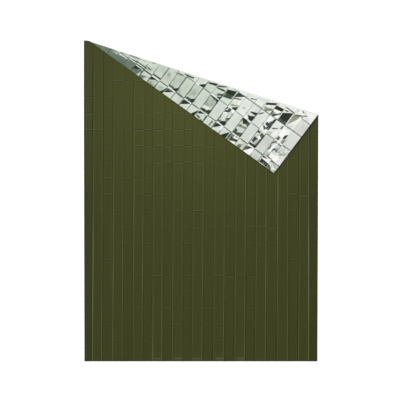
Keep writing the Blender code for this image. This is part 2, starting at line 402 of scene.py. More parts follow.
@dataclass(frozen=True)
class OlivePleats:
    """Creases of the part that lies on the floor with its olive face up."""

    cut: Cut = Cut()
    folds: tuple[LongFold, ...] = LONG_FOLDS
    stretches: tuple[CrossStretch, ...] = CROSS_STRETCHES
    # painted highlights beside the near edge
    edge_highlights: tuple[EdgeHighlight, ...] = EDGE_HIGHLIGHTS
    highlight_place: float = 0.019       # from the near edge
    highlight_reach: float = 0.012
    highlight_fades: tuple[float, float] = (0.20, 0.05)    # at its start and its end, in shares of the pleat
    glow: float = 0.10             # faint painted highlight round each edge highlight, as a share of its strength
    glow_start: float = -0.2       # share of the pleat
    glow_fades: tuple[float, float] = (0.6, 0.10)
    glow_depth: float = 0.09       # from the near edge
    shades: tuple[float, ...] = (1.7, 1.6, 0.9, 0.9, 1.5)    # how dark the painted shade lines are at the listed places along the sheet
    left_edge_rise: float = 0.0010
    rise_change: float = 0.25      # share by which a ridge grows and shrinks along its length
    rise_wave: float = 0.83
    rise_step: float = 1.7
    pinch: float = 0.0004          # height of a crease's own sharp shoulders
    line_wave: float = 0.37        # the painted highlight and shade lines come and go along a fold
    line_step: float = 2.1
    line_change: float = 0.22
    cross_first: float = 0.026
    cross_pitch: float = 0.1063
    cross_count: int = 20
    cross_rise: float = 0.0005
    cross_pinch: float = 0.00025
    cross_plain: float = 0.25      # strength of a cross fold where no stretch is named
    cross_uneven: float = 0.8      # share by which that varies from panel to panel
    crossing: float = 0.3          # share of the reach beside a long fold that hides the cross folds
    wave: float = 0.00012          # slack in the panels
    wave_length: float = 0.055
    offsets: tuple[float, ...] = (-0.012, -0.004, 0.0, 0.004, 0.012)
    across_panel: int = 3
    along_panel: int = 3

    def place(self, fold: LongFold, y: np.ndarray) -> np.ndarray:
        """Find x of a long fold.

        Args:
            fold: the fold.
            y: distances along the sheet.

        Returns:
            X at each distance.
        """
        return self.cut.left + fold.from_left + fold.lean * y / self.cut.length

    def rows(self) -> list[float]:
        """Y of each cross fold, from the near end."""
        first = self.cut.near + self.cross_first
        return [first + self.cross_pitch * number for number in range(self.cross_count)]

    def lines_across(self, y: float) -> list[float]:
        """List the lines along the sheet that the mesh is parted by.

        Args:
            y: distance along the sheet.

        Returns:
            X of each line there, from left to right.
        """
        folds = [float(self.place(fold, y)) for fold in self.folds]
        return mesh_lines(folds, self.cut.left, self.cut.right, self.offsets, self.across_panel)

    def lines_along(self) -> list[float]:
        """Y of each line across the sheet that the mesh is parted by."""
        return mesh_lines(self.rows(), self.cut.near, self.cut.far, self.offsets, self.along_panel)

    def strength(self, row: int, pleat: int) -> float:
        """Find how strongly a cross fold shows in one pleat.

        Args:
            row: the cross fold, counted from the near end.
            pleat: the pleat, counted from the left.

        Returns:
            The strength: negative where its far side carries the painted shade line.
        """
        for stretch in self.stretches:
            if stretch.row == row and stretch.first_pleat <= pleat <= stretch.last_pleat:
                return stretch.strength * (-1.0) ** (pleat - stretch.first_pleat)
        uneven = 1.0 + self.cross_uneven * math.sin(2.3 * row + 1.9 * pleat)
        return self.cross_plain * (-1.0) ** (row + pleat) * uneven

    def pleat_ends(self, x: np.ndarray, y: np.ndarray) -> list[tuple[np.ndarray, np.ndarray]]:
        """Find place and height of each pleat's ends, beside each point.

        Args:
            x: flat places across.
            y: flat places along.

        Returns:
            The left edge, each long fold and the right edge.
        """
        ends = [(np.full_like(x, self.cut.left), np.full_like(x, self.left_edge_rise))]
        for number, fold in enumerate(self.folds):
            phase = 2 * math.pi * y / self.rise_wave + self.rise_step * number
            ends.append((self.place(fold, y), fold.rise * (1.0 + self.rise_change * np.sin(phase))))
        ends.append((np.full_like(x, self.cut.right), np.zeros_like(x)))
        return ends

    def height(self, x: np.ndarray, y: np.ndarray) -> np.ndarray:
        """Find the creased sheet's height above the floor.

        Args:
            x: flat places across.
            y: flat places along.

        Returns:
            Heights.
        """
        ends = self.pleat_ends(x, y)
        height = np.zeros_like(x)
        for pleat, (left, right) in enumerate(zip(ends, ends[1:])):
            share = (x - left[0]) / (right[0] - left[0])
            inside = (share >= 0.0) & (share < 1.0) if pleat < len(ends) - 2 else share >= 0.0
            share = np.clip(share, 0.0, 1.0)
            level = left[1] + (right[1] - left[1]) * share
            for place, rise in (left, right):
                level += self.pinch * tent(x - place, self.offsets[-2]) * np.where(rise > 0.0, 1.0, -1.0)
            middle = tent(share - 0.5, 0.5)
            body = np.minimum(1.0, 3.0 * middle)
            for row, place in enumerate(self.rows()):
                sign = 1.0 if (row + pleat) % 2 == 0 else -1.0
                strength = sign * abs(self.strength(row, pleat))
                swell = self.cross_rise * middle * tent(y - place, self.cross_pitch)
                shoulder = self.cross_pinch * body * tent(y - place, self.offsets[-2])
                level += strength * (swell + shoulder)
            height = np.where(inside, level, height)
        # two crossing sets of soft waves, each bent by the other
        slack = np.sin(x / self.wave_length * 5.1 + 2.0 * np.sin(y / self.wave_length)) + np.sin(
            y / self.wave_length * 3.3 + 1.5 * np.sin(x / self.wave_length * 2.1)
        )
        return np.maximum(0.0, height + 2 * self.pinch + self.wave * slack)

    def marks(self, x: np.ndarray, y: np.ndarray) -> CreaseMarks:
        """Find where the creases are, and how strong.

        Args:
            x: flat places across.
            y: flat places along.

        Returns:
            Distances and strengths.
        """
        reach = self.offsets[-1]
        long_side = np.full_like(x, reach)
        lit, painted_shade = np.zeros_like(x), np.zeros_like(x)
        pleat = np.zeros(len(x), dtype=int)
        shaded = between_places(y, self.shades)
        for number, fold in enumerate(self.folds):
            away = x - self.place(fold, y)
            pleat += away > 0.0
            side = away if fold.rise == 0.0 else -away
            near = np.abs(away) < np.abs(long_side)
            long_side = np.where(near, side, long_side)
            phase = 2 * math.pi * y / self.line_wave + self.line_step * number
            patchy = 1.0 + self.line_change * np.sin(phase)
            close = near & (np.abs(away) < MARKED * reach)
            # the line on the lit side is a painted highlight, partly real wear; the one beside it is painted
            # shade
            worn_and_highlit = between_places(y, fold.highlight_and_wear)
            lit = np.where(close, worn_and_highlit * patchy, np.where(near, 0.0, lit))
            painted_shade = np.where(close, fold.painted_shade * patchy * shaded, np.where(near, 0.0, painted_shade))
        cross_side = np.full_like(x, reach)
        strength = np.zeros_like(x)
        between = np.abs(long_side) > self.crossing * reach
        for row, place in enumerate(self.rows()):
            away = y - place
            near = np.abs(away) < np.abs(cross_side)
            cross_side = np.where(near, away, cross_side)
            strengths = np.array([self.strength(row, number) for number in range(len(self.folds) + 1)])
            shown = (np.abs(away) < MARKED * reach) & between
            strength = np.where(near, np.where(shown, strengths[pleat], 0.0), strength)
        return CreaseMarks(long_side, lit, painted_shade, cross_side, strength, self.painted_highlight(x, y))

    def painted_highlight(self, x: np.ndarray, y: np.ndarray) -> np.ndarray:
        """Find the painted highlights beside the near edge.

        Args:
            x: flat places across.
            y: flat places along.

        Returns:
            Shares of the coat painted bright.
        """
        ends = self.pleat_ends(x, y)
        painted_highlight = np.zeros_like(x)
        from_near = y - self.cut.near
        for highlight_spot in self.edge_highlights:
            left, right = ends[highlight_spot.pleat][0], ends[highlight_spot.pleat + 1][0]
            share = (x - left) / (right - left)
            spot = ease((share - highlight_spot.start) / self.highlight_fades[0]) * ease((1.0 - share) / self.highlight_fades[1])
            spot = spot * tent(from_near - self.highlight_place, self.highlight_reach)
            glow = self.glow * ease((share - self.glow_start) / self.glow_fades[0])
            glow = glow * ease((1.0 - share) / self.glow_fades[1]) * ease(1.0 - from_near / self.glow_depth)
            painted_highlight += highlight_spot.strength * np.maximum(spot, glow)
        return painted_highlight


class PanelMood(Enum):
    """How loose the film is in one panel of the turned corner: height of its crumples in metres."""

    TAUT = 0.00002
    SOFT = 0.00008
    CREASED = 0.00020
    CRUMPLED = 0.00035


TAUT, SOFT, CREASED, CRUMPLED = PanelMood


class Panel(NamedTuple):
    """A panel of the turned corner."""

    strip: int                     # counted from the far edge
    number: int                    # of the long fold on its left
    mood: PanelMood
    lean: float                    # in degrees, positive where it faces the far end


PANELS = tuple(Panel(*row) for row in (
    (1, 5, TAUT, -1.2), (1, 6, TAUT, -1.6), (1, 7, TAUT, -2.9), (1, 8, TAUT, -1.0), (1, 9, TAUT, -0.2),
    (1, 10, TAUT, -0.9), (1, 11, TAUT, 0.9), (1, 12, TAUT, 0.4), (1, 13, SOFT, 1.0), (1, 14, TAUT, 0.2),
    (1, 15, SOFT, 1.0), (1, 16, TAUT, 0.4), (1, 17, CREASED, 2.2), (1, 18, SOFT, 0.6),
    (1, 19, CREASED, 2.6), (1, 20, TAUT, 0.2), (1, 21, CRUMPLED, 3.0), (1, 22, CREASED, 0.3),
    (2, 3, TAUT, -3.4), (2, 4, TAUT, -3.0), (2, 5, TAUT, -2.6), (2, 6, TAUT, -2.4), (2, 7, TAUT, -2.2),
    (2, 8, TAUT, -2.0), (2, 9, TAUT, -2.2), (2, 10, TAUT, -2.0), (2, 11, TAUT, -1.8), (2, 12, TAUT, -1.2),
    (2, 13, TAUT, -2.8), (2, 14, TAUT, 0.6), (2, 15, CREASED, 1.4), (2, 16, TAUT, 1.5),
    (2, 17, TAUT, -1.0), (2, 18, TAUT, 1.0), (2, 19, SOFT, -0.6), (2, 20, TAUT, 0.5),
    (2, 21, CREASED, 2.6), (2, 22, CREASED, 1.2), (3, 9, TAUT, -0.6), (3, 10, TAUT, 0.4),
    (3, 11, TAUT, 0.3), (3, 12, TAUT, -1.6), (3, 13, TAUT, -0.8), (3, 14, TAUT, 0.8), (3, 15, SOFT, 1.4),
    (3, 16, TAUT, 2.0), (3, 17, SOFT, 2.0), (3, 18, TAUT, 2.6), (3, 19, CRUMPLED, 2.4),
    (3, 20, SOFT, 4.6), (3, 21, SOFT, 3.6), (3, 22, TAUT, 1.2), (4, 15, TAUT, 2.4), (4, 16, TAUT, 2.4),
    (4, 17, TAUT, 2.0), (4, 18, SOFT, 2.2), (4, 19, CREASED, 2.6), (4, 20, SOFT, 2.2), (4, 21, SOFT, 2.6),
    (4, 22, TAUT, 0.8), (5, 19, TAUT, 2.6), (5, 20, SOFT, 2.8), (5, 21, CREASED, 2.8), (5, 22, SOFT, 3.0),
))


class Corner(NamedTuple):
    """A panel corner where the loose film stands up or sinks in, so that a triangle of it tilts."""

    cross: int                     # cross fold counted from the far edge, which is 0
    fold: int                      # long fold, counted from the left
    across: float                  # leg of the triangle along the cross fold, negative to the left
    along: float                   # its leg along the long fold, negative towards the near end
    height: float


CORNERS = tuple(Corner(*row) for row in (
    # at the free edge
    (0, 9, -0.022, -0.045, -0.0021), (0, 13, -0.032, -0.046, -0.0035), (0, 15, -0.026, -0.050, -0.0014),
    (0, 17, -0.044, -0.048, -0.0041), (0, 19, -0.028, -0.050, -0.0017), (0, 22, -0.030, -0.030, -0.0014),
    # along the first cross fold: the left corners stand up, the right ones sink in
    (1, 5, 0.030, 0.018, 0.0018), (1, 7, 0.036, 0.018, 0.0024), (1, 8, -0.034, -0.018, -0.0014),
    (1, 9, 0.046, 0.032, 0.0029), (1, 10, -0.034, -0.030, -0.0035), (1, 11, 0.044, 0.036, 0.0048),
    (1, 12, -0.038, -0.030, -0.0043), (1, 13, 0.040, 0.029, 0.0043), (1, 14, -0.040, -0.034, -0.0041),
    (1, 15, 0.036, 0.038, 0.0048), (1, 16, -0.036, -0.032, -0.0041), (1, 17, 0.020, 0.014, 0.0014),
    (1, 18, -0.034, -0.026, -0.0031), (1, 19, 0.036, 0.042, 0.0042), (1, 20, -0.040, -0.014, -0.0024),
    (1, 21, 0.030, 0.012, 0.0021), (1, 22, -0.034, -0.036, -0.0021),
    # along the second
    (2, 10, -0.050, -0.022, -0.0021), (2, 11, 0.022, 0.018, 0.0021), (2, 12, -0.032, -0.024, -0.0036),
    (2, 13, 0.034, 0.016, 0.0017), (2, 14, -0.030, -0.024, -0.0029), (2, 15, 0.038, 0.034, 0.0031),
    (2, 16, -0.032, -0.028, -0.0043), (2, 17, 0.036, 0.036, 0.0050), (2, 18, -0.034, -0.036, -0.0039),
    (2, 19, 0.024, 0.022, 0.0025), (2, 20, -0.022, -0.036, -0.0024), (2, 21, 0.022, 0.016, 0.0017),
    (2, 22, -0.016, -0.044, -0.0017),
    # along the third
    (3, 15, 0.056, 0.036, 0.0050), (3, 18, 0.030, 0.034, 0.0024), (3, 19, -0.034, -0.034, -0.0024),
    (3, 20, -0.030, 0.030, 0.0014),
    # along the fourth
    (4, 21, -0.020, -0.014, -0.0017), (4, 22, -0.030, 0.020, 0.0014),
))


class Shade(Enum):
    """Which way a facet faces, and so what part of the studio it mirrors: its lean to +x and to +y."""

    INK = (0.11, -0.24)
    BLACK = (0.025, -0.22)
    DARK = (0.012, -0.125)
    DIM = (0.00, -0.105)
    GREY = (0.00, -0.085)
    PALE = (0.00, -0.055)
    SAGE = (0.00, -0.038)
    HAZE = (0.00, 0.012)
    LIGHT = (0.00, 0.030)
    WHITE = (0.00, 0.16)
    SLATE = (-0.17, -0.14)
    NAVY = (-0.20, -0.24)
    MIST = (-0.17, -0.01)
    SAND = (0.22, 0.00)
    TAN = (0.25, -0.075)
    BROWN = (0.24, -0.13)


INK, BLACK, DARK, DIM, GREY, PALE, SAGE, HAZE, LIGHT, WHITE, SLATE, NAVY, MIST, SAND, TAN, BROWN = Shade


class Facet(NamedTuple):
    """A flat facet between two lines along the sheet, where the film is creased sharply."""

    left: float
    left_low: float
    left_high: float
    right: float
    right_low: float
    right_high: float
    shade: Shade

    def edges(self, x: np.ndarray) -> tuple[np.ndarray, np.ndarray]:
        """Find the facet's lower and upper edge.

        Args:
            x: flat places across.

        Returns:
            Y of both edges at each place.
        """
        share = (x - self.left) / (self.right - self.left)
        low = self.left_low + (self.right_low - self.left_low) * share
        return low, self.left_high + (self.right_high - self.left_high) * share

    def holds(self, x: np.ndarray, y: np.ndarray) -> np.ndarray:
        """Find which places lie in the facet.

        Args:
            x: flat places across.
            y: flat places along.

        Returns:
            True for each place inside.
        """
        low, high = self.edges(x)
        return (x > self.left) & (x < self.right) & (y > low) & (y < high)

    def sides(self) -> list[tuple[tuple[float, float], tuple[float, float]]]:
        """List the facet's sides.

        Returns:
            A point on each side, and the direction square to it.
        """
        width = self.right - self.left
        return [
            ((self.left, self.left_low), (1.0, 0.0)),
            ((self.right, self.right_low), (1.0, 0.0)),
            ((self.left, self.left_low), (self.left_low - self.right_low, width)),
            ((self.left, self.left_high), (self.left_high - self.right_high, width)),
        ]


FACETS = tuple(Facet(*row) for row in (
    # beside the roll, in the narrow part
    (-0.600, 0.998, 1.013, -0.360, 0.919, 0.932, PALE),
    (-0.360, 0.919, 0.947, -0.200, 0.867, 0.893, PALE),
    (-0.200, 0.867, 0.891, 0.050, 0.785, 0.805, SAGE),
    # on both sides of the first cross fold there
    (-0.575, 1.005, 1.010, -0.523, 1.004, 1.009, PALE),
    (-0.520, 0.976, 1.000, -0.394, 0.953, 1.000, DIM),
    (-0.455, 0.969, 0.978, -0.394, 0.952, 0.962, DARK),
    (-0.520, 0.988, 0.998, -0.457, 0.984, 0.996, DARK),
    (-0.520, 0.976, 0.988, -0.457, 0.972, 0.984, DIM),
    (-0.520, 1.000, 1.005, -0.457, 1.000, 1.005, WHITE),
    (-0.455, 1.003, 1.008, -0.394, 1.003, 1.008, LIGHT),
    (-0.455, 0.996, 1.002, -0.394, 0.996, 1.002, DARK),
    (-0.440, 0.990, 0.994, -0.396, 0.988, 0.994, LIGHT),
    (-0.455, 0.981, 0.990, -0.394, 0.981, 0.988, DARK),
    (-0.391, 0.998, 1.003, -0.329, 1.000, 1.005, WHITE),
    (-0.391, 0.990, 0.996, -0.329, 0.990, 0.998, DARK),
    (-0.391, 0.984, 0.989, -0.329, 0.984, 0.989, LIGHT),
    (-0.391, 0.976, 0.984, -0.329, 0.976, 0.984, DARK),
    (-0.391, 0.962, 0.976, -0.334, 0.956, 0.976, SAGE),
    (-0.389, 0.951, 0.961, -0.345, 0.943, 0.952, DIM),
    (-0.326, 0.996, 1.002, -0.265, 0.997, 1.003, DARK),
    (-0.326, 0.979, 0.987, -0.292, 0.981, 0.987, GREY),
    (-0.318, 0.966, 0.974, -0.290, 0.966, 0.975, GREY),
    (-0.315, 0.926, 0.934, -0.288, 0.915, 0.923, GREY),
    (-0.160, 0.888, 0.900, -0.104, 0.877, 0.886, PALE),
    # along the free edge
    (-0.390, 1.005, 1.030, -0.343, 1.004, 1.007, INK),
    (-0.354, 1.014, 1.050, -0.328, 1.004, 1.050, HAZE),
    (-0.326, 1.002, 1.036, -0.268, 1.002, 1.012, HAZE),
    (-0.260, 1.002, 1.026, -0.222, 1.002, 1.005, INK),
    (-0.198, 1.022, 1.050, -0.138, 1.012, 1.050, SAGE),
    (-0.157, 1.048, 1.050, -0.140, 1.020, 1.050, BLACK),
    (-0.131, 1.021, 1.039, -0.087, 1.000, 1.006, BLACK),
    (-0.131, 1.001, 1.021, -0.106, 1.001, 1.010, DIM),
    (0.000, 1.000, 1.041, 0.050, 1.000, 1.003, BLACK),
    (0.095, 1.046, 1.050, 0.118, 1.006, 1.050, BLACK),
    (0.128, 1.000, 1.024, 0.166, 1.000, 1.002, BLACK),
    (0.129, 1.028, 1.042, 0.158, 1.036, 1.046, GREY),
    (0.166, 1.040, 1.050, 0.186, 1.045, 1.050, GREY),
    (0.180, 1.002, 1.040, 0.190, 1.002, 1.036, GREY),
    (0.229, 1.004, 1.045, 0.242, 1.004, 1.045, PALE),
    (0.263, 1.000, 1.043, 0.299, 1.000, 1.002, BLACK),
    (0.299, 1.000, 1.002, 0.318, 1.000, 1.030, WHITE),
    (0.337, 1.044, 1.050, 0.372, 1.000, 1.050, BLACK),
    (0.387, 0.999, 1.026, 0.411, 0.999, 1.020, TAN),
    (0.391, 1.022, 1.048, 0.442, 1.014, 1.030, DARK),
    (0.414, 1.008, 1.016, 0.442, 1.002, 1.012, WHITE),
    (0.419, 1.000, 1.006, 0.437, 1.000, 1.004, DARK),
    (0.462, 1.030, 1.050, 0.488, 1.014, 1.050, PALE),
    (0.486, 1.000, 1.036, 0.510, 1.000, 1.040, SAND),
    (0.517, 1.006, 1.044, 0.551, 1.000, 1.002, BLACK),
    (0.523, 1.040, 1.050, 0.568, 1.004, 1.050, WHITE),
    (0.641, 1.016, 1.046, 0.699, 1.022, 1.048, DARK),
    (0.641, 0.997, 1.010, 0.672, 1.000, 1.003, BLACK),
    (0.648, 1.010, 1.018, 0.697, 1.004, 1.020, WHITE),
    (0.701, 1.018, 1.050, 0.735, 1.040, 1.050, TAN),
    (0.723, 1.000, 1.010, 0.754, 1.000, 1.026, SAND),
    # below the first cross fold
    (-0.260, 0.979, 0.987, -0.204, 0.979, 0.987, BROWN),
    (-0.135, 0.976, 0.987, -0.097, 0.975, 0.985, GREY),
    (-0.099, 0.985, 0.993, -0.073, 0.963, 0.993, BLACK),
    (0.004, 0.973, 0.989, 0.030, 0.972, 0.987, GREY),
    (0.026, 0.979, 0.992, 0.057, 0.957, 0.992, BLACK),
    (0.130, 0.975, 0.992, 0.162, 0.973, 0.991, DIM),
    (0.158, 0.973, 0.991, 0.189, 0.953, 0.992, DIM),
    (0.127, 0.954, 0.974, 0.168, 0.948, 0.972, LIGHT),
    (0.170, 0.876, 0.888, 0.188, 0.876, 0.898, DIM),
    (0.134, 0.876, 0.884, 0.166, 0.876, 0.890, DIM),
    (0.267, 0.974, 0.987, 0.291, 0.977, 0.991, GREY),
    (0.283, 0.973, 0.991, 0.316, 0.955, 0.993, BLACK),
    (0.303, 0.935, 0.963, 0.316, 0.927, 0.955, PALE),
    (0.261, 0.901, 0.915, 0.291, 0.885, 0.901, SLATE),
    (0.260, 0.877, 0.901, 0.267, 0.877, 0.891, DARK),
    (0.273, 0.877, 0.901, 0.291, 0.875, 0.885, DARK),
    (0.295, 0.871, 0.885, 0.317, 0.871, 0.893, WHITE),
    (0.389, 0.974, 0.991, 0.412, 0.974, 0.991, GREY),
    (0.412, 0.974, 0.991, 0.443, 0.958, 0.991, DIM),
    (0.389, 0.956, 0.974, 0.406, 0.962, 0.974, SLATE),
    (0.392, 0.921, 0.940, 0.444, 0.914, 0.926, PALE),
    (0.386, 0.873, 0.880, 0.408, 0.873, 0.909, BLACK),
    (0.408, 0.873, 0.909, 0.424, 0.876, 0.899, BLACK),
    (0.424, 0.877, 0.901, 0.444, 0.881, 0.907, GREY),
    (0.520, 0.977, 0.992, 0.567, 0.976, 0.991, DARK),
    (0.520, 0.927, 0.963, 0.539, 0.931, 0.967, SLATE),
    (0.557, 0.925, 0.976, 0.567, 0.921, 0.976, PALE),
    (0.541, 0.941, 0.973, 0.556, 0.931, 0.973, SAND),
    (0.517, 0.884, 0.901, 0.535, 0.883, 0.893, DARK),
    (0.543, 0.883, 0.903, 0.567, 0.889, 0.921, DIM),
    (0.539, 0.907, 0.927, 0.556, 0.915, 0.935, WHITE),
    (0.646, 0.985, 0.992, 0.668, 0.963, 0.991, SAND),
    (0.668, 0.963, 0.991, 0.694, 0.985, 0.991, BROWN),
    (0.650, 0.906, 0.956, 0.666, 0.886, 0.961, WHITE),
    (0.670, 0.875, 0.931, 0.698, 0.877, 0.937, MIST),
    (0.638, 0.889, 0.907, 0.654, 0.875, 0.881, DARK),
    (0.672, 0.951, 0.983, 0.732, 0.957, 0.991, WHITE),
    (0.703, 0.923, 0.933, 0.717, 0.913, 0.919, GREY),
    (0.735, 0.899, 0.923, 0.753, 0.905, 0.927, SAND),
    # below the second
    (-0.095, 0.863, 0.872, -0.029, 0.846, 0.858, DARK),
    (0.024, 0.865, 0.873, 0.056, 0.837, 0.869, BLACK),
    (0.066, 0.815, 0.826, 0.119, 0.793, 0.810, BLACK),
    (0.127, 0.812, 0.819, 0.184, 0.797, 0.811, BLACK),
    (0.127, 0.798, 0.812, 0.180, 0.769, 0.778, DARK),
    (0.156, 0.841, 0.859, 0.188, 0.825, 0.843, GREY),
    (0.164, 0.862, 0.869, 0.188, 0.848, 0.869, DARK),
    (0.194, 0.811, 0.842, 0.251, 0.797, 0.825, DIM),
    (0.194, 0.783, 0.811, 0.251, 0.760, 0.797, BLACK),
    (0.260, 0.800, 0.813, 0.305, 0.783, 0.791, BROWN),
    (0.260, 0.759, 0.798, 0.311, 0.758, 0.761, NAVY),
    (0.287, 0.862, 0.870, 0.316, 0.838, 0.870, BLACK),
    (0.271, 0.847, 0.859, 0.315, 0.825, 0.839, TAN),
    (0.345, 0.819, 0.827, 0.363, 0.816, 0.821, PALE),
    (0.399, 0.841, 0.847, 0.423, 0.835, 0.865, DARK),
    (0.423, 0.835, 0.865, 0.443, 0.821, 0.865, DARK),
    (0.401, 0.812, 0.820, 0.443, 0.796, 0.819, DARK),
    (0.391, 0.851, 0.869, 0.407, 0.851, 0.869, WHITE),
    (0.453, 0.787, 0.803, 0.482, 0.762, 0.768, GREY),
    (0.523, 0.833, 0.845, 0.546, 0.845, 0.861, SLATE),
    (0.530, 0.807, 0.829, 0.551, 0.783, 0.827, NAVY),
    (0.549, 0.826, 0.851, 0.568, 0.820, 0.846, DARK),
    (0.551, 0.798, 0.826, 0.568, 0.800, 0.820, GREY),
    (0.554, 0.766, 0.798, 0.568, 0.764, 0.800, DIM),
    (0.517, 0.771, 0.801, 0.543, 0.771, 0.807, WHITE),
    (0.581, 0.815, 0.827, 0.612, 0.800, 0.805, PALE),
    (0.624, 0.766, 0.797, 0.633, 0.766, 0.791, GREY),
    (0.572, 0.847, 0.873, 0.598, 0.839, 0.871, SAND),
    (0.643, 0.835, 0.861, 0.660, 0.839, 0.863, SAGE),
    (0.675, 0.813, 0.837, 0.693, 0.794, 0.829, DARK),
    (0.681, 0.835, 0.867, 0.697, 0.831, 0.867, TAN),
    (0.643, 0.776, 0.831, 0.673, 0.776, 0.837, WHITE),
    # below the third
    (0.349, 0.742, 0.752, 0.385, 0.726, 0.732, GREY),
    (0.450, 0.706, 0.724, 0.509, 0.670, 0.686, BLACK),
    (0.476, 0.730, 0.758, 0.509, 0.716, 0.730, TAN),
    (0.453, 0.731, 0.749, 0.476, 0.727, 0.756, PALE),
    (0.514, 0.724, 0.752, 0.540, 0.728, 0.758, DIM),
    (0.538, 0.736, 0.756, 0.569, 0.700, 0.720, DIM),
    (0.514, 0.684, 0.711, 0.568, 0.676, 0.698, BLACK),
    (0.520, 0.714, 0.728, 0.564, 0.700, 0.708, WHITE),
    (0.575, 0.699, 0.736, 0.634, 0.662, 0.736, BLACK),
    (0.575, 0.736, 0.758, 0.634, 0.736, 0.758, DIM),
    (0.576, 0.654, 0.661, 0.634, 0.654, 0.662, DARK),
    (0.578, 0.672, 0.683, 0.602, 0.670, 0.676, DARK),
    (0.641, 0.666, 0.740, 0.679, 0.642, 0.666, TAN),
    (0.643, 0.738, 0.748, 0.681, 0.664, 0.674, DARK),
    (0.687, 0.643, 0.656, 0.700, 0.642, 0.657, GREY),
    # below the fourth
    (0.658, 0.660, 0.670, 0.719, 0.620, 0.632, TAN),
    (0.666, 0.610, 0.617, 0.689, 0.617, 0.625, DARK),
))


@dataclass(frozen=True)
class SilverPanels:
    """Creases of the turned corner, where the silver face lies on top and the film is loose."""

    cut: Cut = Cut()
    long_folds: tuple[float, ...] = (
        -0.653, -0.588, -0.523, -0.457, -0.393, -0.328, -0.2635, -0.2017, -0.136, -0.0718, -0.0036,
        0.0581, 0.1229, 0.1896, 0.2583, 0.3190, 0.3847, 0.4455, 0.5132, 0.5699, 0.6357, 0.7004,
    )
    long_strengths: tuple[float, ...] = (
        0.3, 0.3, 0.3, 0.3, 0.4, 0.5, 0.35, 0.75, 0.35, 0.85, 0.75,
        0.9, 0.35, 0.9, 0.75, 0.55, 0.65, 0.65, 0.75, 0.5, 0.45, 0.35,
    )
    cross_folds: tuple[float, ...] = (0.054, 0.180, 0.292, 0.391)
    cross_strengths: tuple[tuple[float, float], ...] = (
        (1.0, -0.75), (0.6, -0.40), (-0.75, -0.75), (-0.20, -0.60),    # in odd and in even panels
    )
    return_across: float = 0.062   # legs of the gentle slopes round a corner
    return_along: float = 0.095
    return_width: float = 0.024    # of the gentle slopes round a facet
    facet_slope: float = math.tan(math.radians(1.0))
    facet_crumple: float = 0.35    # share of its panel's crumples that a facet keeps
    facet_least: float = 0.002     # half width of the thinnest slope
    fade: float = 0.008            # crumples and slopes die out over this width at their sides
    corner_share: float = 0.22     # of each corner's height that the film's shape takes up
    groove: float = 0.0004
    seam: float = 0.0005
    crest: float = 0.0022          # the narrow left part stands up by this much along its cross fold
    crest_end: float = -0.22
    crest_fade: float = 0.16
    crest_back: float = 0.13
    cross_start: float = -0.32     # left of this the cross folds leave no marks
    edge_gain: float = 1.45        # of the long folds' strength in the strip along the free edge
    depth: float = 0.50            # from the far edge to below the last panels
    slack: float = 0.00022
    corners: tuple[Corner, ...] = CORNERS
    facets: tuple[Facet, ...] = FACETS
    panels: tuple[Panel, ...] = PANELS
    offsets: tuple[float, ...] = (-0.011, -0.0035, 0.0, 0.0035, 0.011)
    across_panel: int = 8
    along_panel: int = 16

    def cross_places(self) -> list[float]:
        """Y of each cross fold, from the far edge."""
        return [self.cut.far - place for place in self.cross_folds]

    def lines_across(self) -> list[float]:
        """X of each line along the sheet that the mesh is parted by."""
        return mesh_lines(self.long_folds, self.cut.left, self.cut.right, self.offsets, self.across_panel)

    def columns(self) -> list[float]:
        """X of the panels' sides, from beyond the left edge to the right edge."""
        return [-1.0, *self.long_folds, self.cut.right]

    def strips(self) -> list[float]:
        """Y of the panels' ends, from the far edge."""
        return [self.cut.far, *self.cross_places(), self.cut.far - self.depth]

    def lines_along(self, low: float) -> list[float]:
        """List the lines across the sheet that the mesh is parted by.

        Args:
            low: where the mesh starts.

        Returns:
            Y of each line, from near to far.
        """
        rows = sorted(self.cross_places())
        return mesh_lines(rows, low, self.cut.far, self.offsets, self.along_panel)

    def corner_height(self, corner: Corner, x: np.ndarray, y: np.ndarray) -> np.ndarray:
        """Find how the film stands up or sinks in at one corner of a panel.

        Args:
            corner: the corner.
            x: flat places across.
            y: flat places along.

        Returns:
            Heights, up from the silver face.
        """
        place = self.long_folds[corner.fold - 1]
        cross = [self.cut.far, *self.cross_places()][corner.cross]
        share = 0.0
        for away, leg, back in (
            (x - place, corner.across, self.return_across),
            (y - cross, corner.along, self.return_along),
        ):
            share = share + np.where(away * leg > 0.0, np.abs(away / leg), np.abs(away) / back)
        return self.corner_share * corner.height * np.maximum(0.0, 1.0 - share)

    def creases(self, x: np.ndarray, y: np.ndarray) -> np.ndarray:
        """Find the narrow steps of the folds themselves.

        Args:
            x: flat places across.
            y: flat places along.

        Returns:
            Heights, up from the silver face.
        """
        marks = self.marks(x, y)
        half = self.offsets[-2]
        height = -self.groove * marks.long_lit * np.clip(marks.long_side / half, -1.0, 1.0)
        return height + self.seam * marks.cross_strength * np.clip(marks.cross_side / half, -1.0, 1.0)

    def marks(self, x: np.ndarray, y: np.ndarray) -> CreaseMarks:
        """Find where the folds are, and how strong.

        Args:
            x: flat places across.
            y: flat places along.

        Returns:
            Distances and strengths: a cross fold of positive strength is a step up, which looks white.
        """
        reach = self.offsets[-1]
        side = np.full_like(x, reach)
        strength = np.zeros_like(x)
        places = self.long_folds
        for place, shows in zip(places, self.long_strengths):
            away = x - place
            near = np.abs(away) < np.abs(side)
            side = np.where(near, away, side)
            shown = np.where(np.abs(away) < MARKED * reach, shows, 0.0)
            strength = np.where(near, shown, strength)
        strength = strength * np.where(y > self.cut.far - self.cross_folds[0], self.edge_gain, 1.0)
        panel = np.searchsorted(places, x)
        cross_side = np.full_like(x, reach)
        cross_strength = np.zeros_like(x)
        for place, (odd, even) in zip(self.cross_places(), self.cross_strengths):
            away = y - place
            near = np.abs(away) < np.abs(cross_side)
            cross_side = np.where(near, away, cross_side)
            kind = np.where(x < self.cross_start, 0.0, np.where(panel % 2 == 1, odd, even))
            shown = np.where(np.abs(away) < MARKED * reach, kind, 0.0)
            cross_strength = np.where(near, shown, cross_strength)
        none = np.zeros_like(x)
        return CreaseMarks(side, strength, none, cross_side, cross_strength, none)

